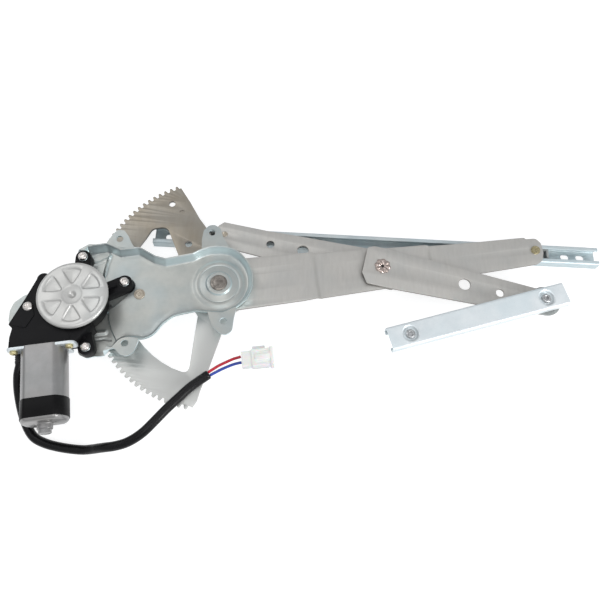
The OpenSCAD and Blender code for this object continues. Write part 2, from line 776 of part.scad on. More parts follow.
module gear_sector() {
    color([0.62, 0.59, 0.54]) difference() {
        slab(sector_z, sector_z + sector_sheet) difference() {
            sector_blank();
            sector_window();
        }
        rod(15, sector_z - cut, hub_arm_z + cut);
        translate([-55, 88, 0]) rod(3.2, sector_z - cut, hub_arm_z + cut);
        translate([-34, 44, 0]) rod(3.5, sector_z - cut, hub_arm_z + cut);
        translate([-44, 79, 0]) rod(2.4, hub_arm_z - 0.6, hub_arm_z + cut);
        lift_frame() for (a = [30, 150, 270]) rotate([0, 0, a]) translate([21, 0, 0])
            rod(3 + fit, sector_z - cut, hub_arm_z + cut);
    }
}

module sector_rivets() {
    color([0.6, 0.58, 0.55]) lift_frame() for (a = [30, 150, 270]) rotate([0, 0, a])
        translate([21, 0, 0]) union() {
            rod(3, sector_z, hub_arm_z + arm_sheet + 0.5);
            rod(4.4, hub_arm_z + arm_sheet + 0.01, hub_arm_z + arm_sheet + 1);
        }
}

// Roller pin: shank in the shoe, collar behind the arm, head on the arm's front
module roller_pin(tip_z, arm_z, head_r, head_h) {
    rod(roller_r, tip_z, arm_z + arm_sheet + 0.2);
    if (head_h > 0) translate([0, 0, arm_z + arm_sheet]) rotate_extrude() polygon(
        [[0, 0], [head_r, 0], [head_r, head_h * 0.5], [head_r - 1, head_h], [0, head_h]]);
}

module lift_roller_pin() {
    color([0.55, 0.48, 0.4]) lift_frame() translate([2 * arm_len, 0, 0])
        roller_pin(3.2, rear_z, 4.6, 1.5);
}

// Equalizer: rear half behind the lift arm, front half before it

module equalizer_rear() {
    color([0.64, 0.62, 0.58]) equalizer_frame() difference() {
        slab(rear_z, rear_z + arm_sheet) rounded(3) polygon([[-arm_len - 9, 8], [-arm_len - 5, 12.4],
            [-arm_len, 13], [-118, 14], [-85, 16], [-45, 17.6], [-5, 19.5], [14, 19.5], [21, 10],
            [21, -10], [14, -19.5], [-5, -19.5], [-45, -18], [-116, -15.4], [-arm_len, -14],
            [-arm_len - 6, -12], [-arm_len - 10, -6]]);
        translate([-key_w / 2 - fit, -key_w / 2 - fit, rear_z - cut]) cube([key_w + 2 * fit, key_w + 2 * fit, 5]);
        translate([-arm_len, 0, 0]) rod(roller_r + fit, rear_z - cut, rear_z + 4);
        translate([-113, 0, 0]) rod(4, rear_z - cut, rear_z + 4);
        translate([-80, 1, 0]) rod(5.6, rear_z - cut, rear_z + 4);
        translate([-39, 13, 0]) rod(2, rear_z + arm_sheet - 0.8, rear_z + 4);
    }
}

module equalizer_front() {
    color([0.66, 0.65, 0.61]) equalizer_frame() difference() {
        slab(front_z, front_z + arm_sheet) rounded(3) polygon([[-18, 16.5], [-18.5, -11], [-12, -21.5],
            [8, -21.6], [100, -18], [arm_len, -13.5], [arm_len + 9, -10], [arm_len + 12, 0],
            [arm_len + 9, 9], [arm_len, 12], [115, 14], [46, 17.6], [0, 19.6], [-12, 19.6]]);
        rod(7 + fit, front_z - cut, front_z + 4);
        translate([arm_len, 0, 0]) rod(roller_r + fit, front_z - cut, front_z + 4);
        translate([81.5, 0, 0]) rod(5.8, front_z - cut, front_z + 4);
        translate([116.5, -1, 0]) rod(4, front_z - cut, front_z + 4);
    }
}

// Crossing rivet: rear head, square key, round journal for the lift arm, crimped front
module crossing_rivet() {
    top = front_z + arm_sheet;
    petals = 8;
    color([0.72, 0.62, 0.56]) equalizer_frame() difference() {
        union() {
            rod(11, rear_z - 1.4, rear_z - 0.01);
            translate([-key_w / 2, -key_w / 2, rear_z - cut]) cube([key_w, key_w, arm_sheet + cut]);
            rod(10, rear_z + arm_sheet, front_z - 0.01);
            rod(7, front_z - cut, top + 0.3);
            translate([0, 0, top + 0.01]) rotate_extrude() polygon(
                [[0, 0], [8, 0], [8, 0.8], [6.4, 1.8], [0, 1.8]]);
        }
        for (k = [0:petals - 1]) rotate([0, 0, 360 * k / petals]) translate([7.6, 0, 0])
            rod(1.3, top + 0.3, top + 3);
        rod(2.2, top + 0.4, top + 3);
    }
}

module crossing_washers() {
    color([0.3, 0.3, 0.3]) equalizer_frame() for (z = [rear_z, mid_z])
        tube(16, 10 + fit, z + arm_sheet + 0.15, z + arm_sheet + arm_gap - 0.15);
}

module upper_roller_pin() {
    color([0.72, 0.62, 0.42]) equalizer_frame() translate([-arm_len, 0, 0])
        roller_pin(3.2, rear_z, 4.6, 0);
}

module lower_roller_pin() {
    color([0.55, 0.48, 0.4]) equalizer_frame() translate([arm_len, 0, 0]) union() {
        rod(roller_r, front_z - 1.2, panel_rail_z + 4.6);
        rod(5, front_z - 1.3, front_z - 0.01);
    }
}

// Shoes

module rail_shoe() {
    inner_w = glass_rail_w - 2 * rail_sheet - 0.7;
    difference() {
        union() {
            slab(rail_sheet + free, glass_rail_depth - rail_sheet - free) rounded(2.5)
                square([34, inner_w], center = true);
            rod(4.8, glass_rail_depth - rail_sheet - cut, rear_z - 0.4);
        }
        rod(roller_r + fit, 2.9, rear_z + cut);
        for (s = [-1, 1]) translate([s * 12, 0, 0]) slab(rail_sheet, glass_rail_depth) rounded(0.5)
            square([5, 9], center = true);
    }
}

module right_shoe() {
    color([0.16, 0.16, 0.17]) translate([2 * cross_x, rail_y, 0]) rail_shoe();
}

module left_shoe() {
    color([0.16, 0.16, 0.17]) translate([0, rail_y, 0]) rail_shoe();
}

module lower_shoe() {
    inner_w = panel_rail_w - 2 * rail_sheet - 0.7;
    low = panel_rail_z + rail_sheet + free;
    color([0.16, 0.16, 0.17]) panel_rail_frame() difference() {
        union() {
            slab(low, panel_rail_z + 5.2) rounded(2.5) square([30, inner_w], center = true);
            rod(4.8, front_z + arm_sheet + 0.5, low + cut);
            rod(17, front_z + arm_sheet + 0.4, panel_rail_z - 0.4);
        }
        rod(roller_r + fit, front_z, panel_rail_z + 4.9);
    }
}

// Rails

module glass_rail() {
    color([0.7, 0.74, 0.77]) translate([glass_rail_x, rail_y, 0]) difference() {
        c_section(glass_rail_len, glass_rail_w, glass_rail_depth, rail_sheet, 3);
        for (s = [-1, 1]) translate([s * (glass_rail_len / 2 - rail_hole_in), 0, 0])
            rod(2.7, -cut, rail_sheet + cut);
        translate([glass_rail_len / 2 - 32, 0, 0]) rod(2, -cut, rail_sheet + cut);
    }
}

module at_panel_holes() {
    for (s = [-1, 1]) translate([-72 + s * panel_hole_gap / 2, 0, 0]) children();
}

module panel_rail() {
    color([0.84, 0.87, 0.89]) panel_rail_frame() difference() {
        union() {
            translate([-72, 0, door_z]) mirror([0, 0, 1])
                c_section(panel_rail_len, panel_rail_w, door_z - panel_rail_z, rail_sheet, 3);
            at_panel_holes() rotate_extrude() polygon([[3, door_z - 3], [5.6, door_z - 3],
                [6.9, door_z - 0.2], [8.6, door_z - 0.2], [8.6, door_z - rail_sheet],
                [7.8, door_z - rail_sheet - 0.3], [6.4, door_z - 4.2], [3, door_z - 4.2]]);
        }
        at_panel_holes() difference() {
            rotate_extrude() polygon([[0, door_z - 3], [5.6, door_z - 3], [7, door_z + 0.1], [0, door_z + 0.1]]);
        }
        at_panel_holes() rod(3.1, door_z - 6, door_z);
    }
}

module panel_rail_nuts() {
    color([0.75, 0.75, 0.72]) panel_rail_frame() at_panel_holes() difference() {
        union() {
            rod(3.05, door_z - 4.2, door_z - 1.5);
            rotate_extrude() translate([0, door_z - 2.95]) polygon([[0, 0], [4.6, 0], [4.6, 1.6],
                [3.9, 2.6], [0, 2.6]]);
        }
        rod(2.1, door_z - 6, door_z + 1);
    }
}

mounting_plate();
pivot_pin();
pivot_spacer();
stop_rivet();
gear_housing();
housing_cover();
cover_seal();
motor_screws();
ear_sleeves();
plate_nuts();
housing_screw();
wheel_axle();
pinion_bush();
motor_can();
can_band();
flange_screws();
magnets();
end_bearing();
front_bearing();
brush_holder();
brushes();
lead_boot();
lead_sleeve();
red_wire();
blue_wire();
connector();
contacts();
armature_shaft();
armature_core();
windings();
commutator();
worm_wheel();
wheel_damper();
drive_pinion();
lift_arm();
gear_sector();
sector_rivets();
lift_roller_pin();
equalizer_rear();
equalizer_front();
crossing_rivet();
crossing_washers();
upper_roller_pin();
lower_roller_pin();
left_shoe();
right_shoe();
lower_shoe();
glass_rail();
panel_rail();
panel_rail_nuts();
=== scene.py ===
# %% [markdown]
# # Crossed-arm window regulator: looks
# The regulator lifts a car door's glass: a gear motor turns a toothed sector, the sector swings the lift arm, and a
# second arm crossed over the first keeps the glass rail level. The solids of the part are already fixed by its CAD
# model, so this lesson only dresses them: each visible piece is drawn again with the edges, folds and finish that a
# photograph shows, and is laid exactly over its solid. Inside pieces that nobody sees keep their solid and only get
# a finish. Lengths in the tables below are millimetres, turned to metres by MM.

# %% Imports and the frame
import json
from math import acos, asin, cos, exp, log, pi, radians, sin, tan

import bmesh
import bpy
import numpy as np
from mathutils import Matrix, Vector
from mathutils.geometry import delaunay_2d_cdt


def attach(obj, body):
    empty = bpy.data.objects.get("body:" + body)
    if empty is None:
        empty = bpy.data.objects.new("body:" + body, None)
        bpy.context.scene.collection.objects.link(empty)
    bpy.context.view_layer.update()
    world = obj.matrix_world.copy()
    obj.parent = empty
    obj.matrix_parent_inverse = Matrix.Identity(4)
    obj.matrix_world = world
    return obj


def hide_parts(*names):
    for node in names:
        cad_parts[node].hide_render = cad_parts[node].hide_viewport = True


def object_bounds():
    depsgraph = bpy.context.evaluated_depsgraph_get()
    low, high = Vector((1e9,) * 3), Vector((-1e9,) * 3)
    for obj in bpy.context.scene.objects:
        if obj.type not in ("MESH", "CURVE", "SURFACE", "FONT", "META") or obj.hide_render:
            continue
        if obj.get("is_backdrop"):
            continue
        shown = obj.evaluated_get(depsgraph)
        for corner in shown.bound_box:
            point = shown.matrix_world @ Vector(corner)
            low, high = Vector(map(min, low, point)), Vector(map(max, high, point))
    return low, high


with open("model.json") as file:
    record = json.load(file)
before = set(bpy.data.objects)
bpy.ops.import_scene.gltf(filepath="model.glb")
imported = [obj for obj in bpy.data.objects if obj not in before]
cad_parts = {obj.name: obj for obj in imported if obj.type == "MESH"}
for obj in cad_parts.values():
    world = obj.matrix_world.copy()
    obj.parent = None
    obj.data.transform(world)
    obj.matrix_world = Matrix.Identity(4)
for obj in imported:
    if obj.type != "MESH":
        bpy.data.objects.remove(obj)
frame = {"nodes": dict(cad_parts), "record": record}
cad_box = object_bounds()
MM = 0.001

# %% [markdown]
# ## Sizes shared with the CAD part
# Both arms are equally long from the crossing to their pins, so one length and one angle place the whole linkage:
# the crossing lies at that angle from the main pivot, and the glass rail at twice the crossing's height. These
# values could be measured on the solids, but written out they show how the mechanism is laid out.

# %% Sizes
def polar(radius, bearing):
    """The point at a distance from the origin along a bearing."""
    return radius * cos(bearing), radius * sin(bearing)


ARM_LENGTH = 160
REST_ANGLE = radians(10.6)
CROSSING = Vector((*polar(ARM_LENGTH, REST_ANGLE), 0))
RAIL_Y = 2 * CROSSING.y
PINION_DISTANCE, PINION_BEARING = 129, radians(192.6)
PINION = Vector((*polar(PINION_DISTANCE, PINION_BEARING), 0))
MOTOR_TURN, PANEL_RAIL_ANGLE = radians(10.5), radians(17.8)
SLEEVE_DIAMETER, WIRE_DIAMETER = 8.5, 2.6
PIVOT_HOLE, PIN_HOLE = 8.05, 3.05

# %% [markdown]
# ## Colours
# A colour picked from a photograph is an sRGB value, but a shader works in linear light. The colour could be typed
# in linear numbers by hand; one function keeps the familiar hex values readable instead.


# %% Colours
def linear(hex_colour):
    """A colour written as sRGB hex, as linear RGBA."""
    parts = [int(hex_colour[i : i + 2], 16) / 255 for i in (1, 3, 5)]
    return [c / 12.92 if c <= 0.04045 else ((c + 0.055) / 1.055) ** 2.4 for c in parts] + [1]


# %% Material helpers
finish = {}


def new_material(name):
    """A fresh node material, kept among the finishes: its node tree and its shader."""
    finish[name] = bpy.data.materials.new(name)
    finish[name].use_nodes = True
    tree = finish[name].node_tree
    return tree, tree.nodes["Principled BSDF"]


def wire_up(tree, node, **inputs):
    """Sets a node's inputs, or links them from sockets. Underscores stand for spaces, and i2 for input 2."""
    for key, value in inputs.items():
        socket = node.inputs[int(key[1:]) if key[1:].isdigit() else key.replace("_", " ")]
        if isinstance(value, bpy.types.NodeSocket):
            tree.links.new(value, socket)
        else:
            socket.default_value = value
    return node


def add(tree, kind, settings=None, **inputs):
    """Adds one shader node with its settings and inputs."""
    node = tree.nodes.new("ShaderNode" + kind)
    for key, value in (settings or {}).items():
        setattr(node, key, value)
    return wire_up(tree, node, **inputs)


def coordinates(tree, scale=(1, 1, 1), turn=0.0):
    """Object coordinates in millimetres, scaled and turned about Z."""
    source = add(tree, "TexCoord").outputs["Object"]
    size = tuple(s / MM for s in scale)
    return add(tree, "Mapping", i0=source, Rotation=(0, 0, turn), Scale=size).outputs[0]


def noise(tree, where, size, detail=3.0, rough=0.5):
    """Noise whose lumps are size millimetres across."""
    return add(tree, "TexNoise", Vector=where, Scale=1 / size, Detail=detail, Roughness=rough).outputs[0]


def ramp(tree, value, low, high, out_low=0.0, out_high=1.0):
    """Maps low..high of a value to out_low..out_high, and holds it there."""
    return add(tree, "MapRange", i0=value, i1=low, i2=high, i3=out_low, i4=out_high).outputs[0]


def mix(tree, share, first, second):
    """A colour between two colours."""
    return add(tree, "Mix", {"data_type": "RGBA"}, i0=share, i6=first, i7=second).outputs[2]


def bump(tree, height, strength, depth):
    """A bump of depth millimetres from a 0..1 height."""
    return add(tree, "Bump", Height=height, Strength=strength, Distance=depth * MM).outputs[0]


def tint(tree, base, colour, value, low, high, share, rest=0.0):
    """Lays a share of a colour over the base where a value rises from low to high."""
    return mix(tree, ramp(tree, value, low, high, rest, share), base, linear(colour))


def upward(tree, normal):
    """How far a surface faces up: 1 on top, 0 on a wall. Its normal is smoothed, or the true one of its face."""
    return add(tree, "SeparateXYZ", Vector=add(tree, "NewGeometry").outputs[normal]).outputs["Z"]


# %% [markdown]
# ## Materials
# Nearly all of a regulator is sheet steel with a thin zinc layer, so what tells the pieces apart is small: a blue tint
# of the passivation on the plate, bare warm steel on the arms, a yellow layer on two screws. Photographs could be laid
# over the meshes, but noise textures in object coordinates need no unwrapping, keep their real size on every piece and
# never repeat. Sizes of patterns are real millimetres. Cut edges and walls get painted light, found from the height of
# the surface's normal: a painted pale blue reflection on the plate's walls and painted shade on the cut edges of the
# arms and the sector. The gear sector also gets a painted reflection, a lighter, greyer tone towards -Y.


# %% Zinc-plated pressed sheet
def zinc_sheet(name, light, dark, metal, rough, blue, blue_share, lines=0.25, wall_reflection_share=0.0):
    """Zinc electroplated on rolled steel: cloudy patches, a blue passivation tint, fine rolling lines, painted pale
    blue reflection on walls.
    """
    tree, shader = new_material(name)
    where = coordinates(tree)
    grain = noise(tree, coordinates(tree, (1, 14, 1), 0.2), 9, 4, 0.65)
    base = tint(tree, linear(light), dark, noise(tree, where, 16, 4, 0.6), 0.35, 0.68, 1.0)
    base = tint(tree, base, blue, noise(tree, where, 34, 2, 0.5), 0.42, 0.66, blue_share)
    base = tint(tree, base, "#6f7476", noise(tree, where, 0.9, 2, 0.6), 0.64, 0.76, 0.25)
    # Painted reflection: walls, where the smoothed normal leans away from up, are mixed towards pale blue-white.
    base = tint(tree, base, "#e4f6fa", upward(tree, "Normal"), 0.35, 0.97, 0.0, wall_reflection_share)
    wire_up(tree, shader, Base_Color=base, Metallic=metal, Normal=bump(tree, grain, lines, 0.05),
            Roughness=ramp(tree, grain, 0.3, 0.7, rough - 0.28 * lines, rough + 0.4 * lines))


# %% Plain pressed steel of the arms
def arm_steel(name, light, dark, metal=0.72, rough=0.42, turn=0.18, painted_reflection_tone=None):
    """Cold-rolled steel under a thin zinc wash: warm grey, cross streaks, faint rolling lines along it, painted shade
    on cut edges, and a painted reflection tone towards -Y if one is given.
    """
    tree, shader = new_material(name)
    where = coordinates(tree)
    along = noise(tree, coordinates(tree, (1, 16, 1), turn), 22, 4, 0.6)
    streaks = noise(tree, coordinates(tree, (4, 0.9, 1), turn), 13, 5, 0.62)
    scuffs = noise(tree, coordinates(tree, (1, 7, 1), turn + 0.7), 1.6, 4, 0.7)
    base = tint(tree, linear(light), dark, streaks, 0.2, 0.8, 1.0)
    base = tint(tree, base, "#afb2b1", noise(tree, where, 28, 3, 0.5), 0.4, 0.7, 0.3)
    base = tint(tree, base, "#d7d6d0", scuffs, 0.62, 0.78, 0.12)
    # Painted shade: cut edges and walls, where the face's true normal leans away from up, are mixed towards dark grey.
    base = tint(tree, base, "#77736f", upward(tree, "True Normal"), 0.2, 0.8, 0.0, 0.8)
    # Painted reflection: a lighter, greyer tone mixed in towards -Y.
    if painted_reflection_tone:
        base = tint(tree, base, painted_reflection_tone, add(tree, "SeparateXYZ", Vector=where).outputs["Y"], -20, 30, 0.0, 1.0)
    wire_up(tree, shader, Base_Color=base, Metallic=metal, Normal=bump(tree, along, 0.15, 0.04),
            Roughness=ramp(tree, streaks, 0.3, 0.7, rough - 0.03, rough + 0.05))


# %% Turned and machined steel
def turned_steel(name, light, dark, metal=0.9, rough=0.3, lumps=1.2):
    """Small steel pieces: uneven tone, tool marks."""
    tree, shader = new_material(name)
    where = coordinates(tree)
    marks = noise(tree, where, lumps, 4, 0.6)
    wire_up(tree, shader, Base_Color=tint(tree, linear(light), dark, marks, 0.35, 0.66, 1.0), Metallic=metal,
            Roughness=ramp(tree, marks, 0.3, 0.7, rough - 0.08, rough + 0.14),
            Normal=bump(tree, noise(tree, where, 0.35, 2, 0.6), 0.3, 0.05))


# %% Moulded plastics
def moulded_plastic(name, light, dark, rough=0.45, grain=0.5, depth=0.03, **extra):
    """Injection-moulded plastic with a fine spark-eroded grain and a slight change of tone."""
    tree, shader = new_material(name)
    where = coordinates(tree)
    tone = noise(tree, where, 12, 3, 0.5)
    wire_up(tree, shader, Base_Color=tint(tree, linear(light), dark, tone, 0.35, 0.7, 1.0),
            Roughness=ramp(tree, tone, 0.3, 0.7, rough - 0.06, rough + 0.08),
            Normal=bump(tree, noise(tree, where, grain, 2, 0.6), 0.35, depth), **extra)


# %% Sleeve over the leads
def sleeve_plastic(name):
    """Soft black PVC sleeving: satin, with faint lengthwise ripples and dust."""
    tree, shader = new_material(name)
    where = coordinates(tree)
    dust = noise(tree, where, 2.2, 4, 0.7)
    wire_up(tree, shader, Base_Color=tint(tree, linear("#0b0b0d"), "#1d1d21", dust, 0.5, 0.8, 0.5),
            Roughness=ramp(tree, dust, 0.3, 0.7, 0.22, 0.36), Specular_IOR_Level=0.22,
            Normal=bump(tree, noise(tree, where, 5, 2, 0.5), 0.3, 0.25))


# %% The finishes
# The plate's walls carry the painted pale blue reflection.
zinc_sheet("zinc_plate", "#babcb7", "#acafab", 0.75, 0.36, "#a9bcc3", 0.3, wall_reflection_share=0.8)
zinc_sheet("rail_zinc", "#cfd7d8", "#c1cbce", 0.45, 0.38, "#b9d0d8", 0.4)
zinc_sheet("light_zinc", "#e9eff1", "#dbe3e6", 0.5, 0.4, "#d3e2e7", 0.4)
arm_steel("arm_steel", "#c8c6c1", "#bcbab5")
# The sector's last colour is its painted reflection, growing towards -Y.
arm_steel("sector_steel", "#a0988a", "#968e81", 0.7, 0.4, 1.1, "#c4c5c2")
turned_steel("aged_zinc", "#b9b08f", "#8b8161", 0.8, 0.35, 1.5)
turned_steel("crimp_steel", "#cdbfb8", "#93867f", 0.95, 0.25, 1.5)
turned_steel("nut_steel", "#c9cbcc", "#939596", 0.9, 0.3, 3)
# Dark steel; on the crossing rivet's centre disc it is painted shade.
turned_steel("dark_steel", "#3c3836", "#2c2a29", 0.5, 0.6)
turned_steel("pin_steel", "#99938c", "#6c6762", lumps=3)
turned_steel("rivet_steel", "#c6bdae", "#aaa192", 0.7, 0.4, 2.5)
turned_steel("bright_steel", "#e6e3df", "#b5aeaa", 0.95, 0.22, 0.8)
zinc_sheet("can_steel", "#979594", "#8b8a88", 0.6, 0.3, "#939a9e", 0.2, 0.03)
zinc_sheet("cover_metal", "#c8c8c5", "#bebebb", 0.6, 0.33, "#b8bfc0", 0.25, 0.1)
turned_steel("yellow_zinc", "#dcd4ac", "#ab9f68", 0.85, 0.3, 1.0)
moulded_plastic("black_plastic", "#0c0c0e", "#121214", 0.46, Specular_IOR_Level=0.16)
moulded_plastic("band_tape", "#0b0b0c", "#101011", 0.4, 1.2, 0.02, Specular_IOR_Level=0.12)
moulded_plastic("black_rubber", "#141416", "#1a1a1c", 0.62, 0.8, 0.05)
moulded_plastic("shoe_plastic", "#9a9d9c", "#8f9392", 0.4)
moulded_plastic("washer_plastic", "#3c3c40", "#48484c", 0.4)
moulded_plastic("white_plastic", "#e5e2d6", "#dcd8ca", 0.35)
moulded_plastic("milky_nylon", "#f8f9f6", "#f1f2ee", 0.32, 0.9, 0.02, Subsurface_Weight=0.35,
                Subsurface_Scale=0.003)
moulded_plastic("red_insulation", "#c8102e", "#b00d2a", 0.3, 1.2, 0.03)
moulded_plastic("blue_insulation", "#2a4bb0", "#233f9a", 0.3, 1.2, 0.03)
moulded_plastic("brown_bakelite", "#4a2a1a", "#3a2014", 0.35)
turned_steel("bronze", "#b48a5a", "#8c6a42", 0.9, 0.4)
turned_steel("copper", "#c87848", "#9c5430", 0.95, 0.3, 0.6)
turned_steel("magnet_black", "#4a4a4d", "#333336", 0.5, 0.55)
moulded_plastic("carbon", "#202022", "#2b2b2d", 0.6)
sleeve_plastic("sleeve")
print(len(finish), "finishes")

# %% Materials on the CAD nodes
def paint(obj, name):
    """Gives a mesh one finish."""
    obj.data.materials.clear()
    obj.data.materials.append(finish[name])


slot_of = {part["node"]: part["material_slot"] for part in frame["record"]["subparts"]}
for node_name, node in frame["nodes"].items():
    paint(node, slot_of[node_name])

# %% [markdown]
# ## Camera, light and floor
# The photograph was taken from 68 degrees above the table, so the camera's target, distance, bearing, elevation
# and roll were fitted to points that are known on the part. The light could come from one lamp, but sheet metal
# only reads as metal when it mirrors something: three soft lamps stand round it, the brightest at the right, where
# the photograph's highlights lie. The white ground is light that only the camera and mirror-like rays meet, so
# that it adds nothing to the light on the part and the floor keeps the shadow.

# %% Camera
CAMERA_TARGET = Vector((77.7, -9.3, 20))
CAMERA_DISTANCE = 592.5
CAMERA_BEARING, CAMERA_ELEVATION, CAMERA_ROLL = (radians(angle) for angle in (-4.07, 68.03, 6.58))
CAMERA_LENS, SENSOR_WIDTH = 37.11, 36


def new_object(name, data):
    """A new object in the scene."""
    obj = bpy.data.objects.new(name, data)
    bpy.context.scene.collection.objects.link(obj)
    return obj


def add_camera():
    """A camera on the sphere round the target, rolled about its own axis."""
    level = Vector((*polar(1, CAMERA_BEARING), 0))
    away = cos(CAMERA_ELEVATION)
    back = Vector((level.y * away, -level.x * away, sin(CAMERA_ELEVATION)))
    upright = back.cross(level)
    right = cos(CAMERA_ROLL) * level + sin(CAMERA_ROLL) * upright
    up = cos(CAMERA_ROLL) * upright - sin(CAMERA_ROLL) * level
    data = bpy.data.cameras.new("camera")
    data.lens, data.sensor_width, data.clip_start = CAMERA_LENS, SENSOR_WIDTH, 0.01
    camera = new_object("camera", data)
    camera.matrix_world = Matrix.Translation((CAMERA_TARGET + CAMERA_DISTANCE * back) * MM) @ Matrix(
        (right, up, back)).transposed().to_4x4()
    bpy.context.scene.camera = camera


add_camera()


# %% Light and floor
LAMP_TARGET = Vector((60, 0, 0))
FLOOR_SIZE, FLOOR_DROP, FLOOR_GLOW = 6, 0.0002, 0.8


def add_area(name, place, size, power):
    """A square soft lamp that looks at the middle of the part."""
    data = bpy.data.lights.new(name, "AREA")
    data.size, data.energy = size * MM, power
    light = new_object(name, data)
    light.location = Vector(place) * MM
    light.rotation_euler = (LAMP_TARGET * MM - light.location).to_track_quat("-Z", "Y").to_euler()


def joined(tree, operation, first, second):
    """A product, a sum or a maximum of two values."""
    return add(tree, "Math", {"operation": operation}, i0=first, i1=second).outputs[0]


def seen_directly(tree, strength):
    """A strength that only camera, glossy and transmitted rays meet, so that it lights nothing."""
    path = add(tree, "LightPath").outputs
    some = joined(tree, "MAXIMUM", path["Is Camera Ray"], path["Is Glossy Ray"])
    return joined(tree, "MULTIPLY", joined(tree, "MAXIMUM", some, path["Is Transmission Ray"]), strength)


def add_floor():
    """A pale matt floor, wide enough to fill the view."""
    bpy.ops.mesh.primitive_plane_add(size=FLOOR_SIZE, location=(LAMP_TARGET.x * MM, 0, -FLOOR_DROP))
    floor = bpy.context.object
    floor.name = "floor"
    tree, shader = new_material("floor_paper")
    tone = mix(tree, noise(tree, coordinates(tree), 200, 2, 0.5), linear("#aeafb0"), linear("#aaabac"))
    wire_up(tree, shader, Base_Color=tone, Roughness=0.95, Specular_IOR_Level=0.0,
            Emission_Color=linear("#ffffff"), Emission_Strength=seen_directly(tree, FLOOR_GLOW))
    paint(floor, "floor_paper")
    floor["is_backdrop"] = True


def light_world(fill, horizon, zenith):
    """An even fill light. Metal mirrors a room that is brighter overhead, and the camera sees plain white."""
    world = bpy.data.worlds.new("studio")
    world.use_nodes = True
    tree = world.node_tree
    height = add(tree, "SeparateXYZ", Vector=add(tree, "TexCoord").outputs["Generated"]).outputs["Z"]
    room = ramp(tree, height, 0.05, 0.75, horizon - fill, zenith - fill)
    total = joined(tree, "ADD", joined(tree, "MULTIPLY", room, seen_directly(tree, 1.0)), fill)
    white = joined(tree, "MAXIMUM", total, add(tree, "LightPath").outputs["Is Camera Ray"])
    wire_up(tree, tree.nodes["Background"], Color=linear("#fbfcff"), Strength=white)
    bpy.context.scene.world = world


add_floor()
light_world(0.52, 0.55, 0.74)
add_area("right", (750, -480, 420), 400, 5.0)
add_area("left", (-600, 350, 900), 600, 1.3)
add_area("top", (60, -450, 1250), 700, 2.2)
bpy.context.scene.view_settings.view_transform = "Standard"

# %% [markdown]
# ## Cords
# The motor's two wires run in a black sleeve that leaves the boot, bends down to the table behind the can and rises
# again to the connector. A simulation could let it fall, but a stiff short sleeve keeps the shape it was packed in, so
# its route is a smooth curve through the listed points of the CAD part, and a ring of points is carried along it
# without twist.

# %% Routes
SLEEVE_ROUTE = [(-168.53, -86.73, 29), (-168.17, -88.69, 29), (-169.3, -96, 26.2), (-169.9, -105, 20),
    (-168.6, -116, 13.5), (-165.3, -128, 8), (-160, -139, 5), (-153, -147, 4.3), (-143, -151.5, 4.3),
    (-132, -154, 4.3), (-120, -155.5, 4.3), (-109, -156, 4.8), (-100, -155.5, 8), (-93, -155, 12.5),
    (-86, -154.5, 16.5), (-78, -153.5, 19), (-69, -151, 21), (-61, -147, 23.3), (-53, -141, 25.6),
    (-45, -132, 26.5), (-36, -121, 26.5), (-26, -110, 26.5), (-16, -99.5, 26.5), (-1.7, -87.9, 26.5)]
RED_ROUTE = [(-2.5, -86.6, 27.5), (6, -80.5, 28.2), (13, -76.8, 29.2), (19, -74, 30.3), (26, -71.6, 31)]
BLUE_ROUTE = [(-0.5, -89.1, 27.2), (8, -84, 27.8), (15, -80.6, 28.8), (21, -78.4, 30.2), (27, -76.9, 31)]


def smooth(points, steps):
    """A Catmull-Rom curve through the points."""
    points = [Vector(p) for p in points]
    ends = [2 * points[0] - points[1]] + points + [2 * points[-1] - points[-2]]
    curve = []
    for a, b, c, d in zip(ends, ends[1:], ends[2:], ends[3:]):
        for k in range(steps):
            t = k / steps
            curve.append(0.5 * (2 * b + (c - a) * t + (2 * a - 5 * b + 4 * c - d) * t * t
                                + (3 * b - a - 3 * c + d) * t * t * t))
    return curve + [points[-1]]


def length_of(points):
    return sum((b - a).length for a, b in zip(points, points[1:]))


# %% Meshes and tubes
def tidy_mesh(obj, sharp):
    """Merges doubles, turns faces outward and smooths all but the edges sharper than an angle."""
    bm = bmesh.new()
    bm.from_mesh(obj.data)
    bmesh.ops.remove_doubles(bm, verts=bm.verts, dist=1e-6)
    bmesh.ops.recalc_face_normals(bm, faces=bm.faces)
    bm.to_mesh(obj.data)
    bm.free()
    obj.data.shade_smooth()
    obj.data.set_sharp_from_angle(angle=radians(sharp))


def new_mesh(name, points, faces, material, sharp):
    """A tidied mesh object from points in millimetres."""
    mesh = bpy.data.meshes.new(name)
    mesh.from_pydata([Vector(p) * MM for p in points], [], faces)
    mesh.validate()
    obj = new_object(name, mesh)
    tidy_mesh(obj, sharp)
    paint(obj, material)
    return obj


def loft(name, loops, material, sharp=30, closed=False):
    """A skin over loops of equal count, capped at both ends or joined from last to first."""
    n, count = len(loops[0]), len(loops)
    points = [p for loop in loops for p in loop]
    last = count if closed else count - 1
    faces = [(i * n + k, i * n + (k + 1) % n, (i + 1) % count * n + (k + 1) % n, (i + 1) % count * n + k)
             for i in range(last) for k in range(n)]
    if not closed:
        faces += [tuple(range(n))[::-1], tuple((count - 1) * n + k for k in range(n))]
    return new_mesh(name, points, faces, material, sharp)


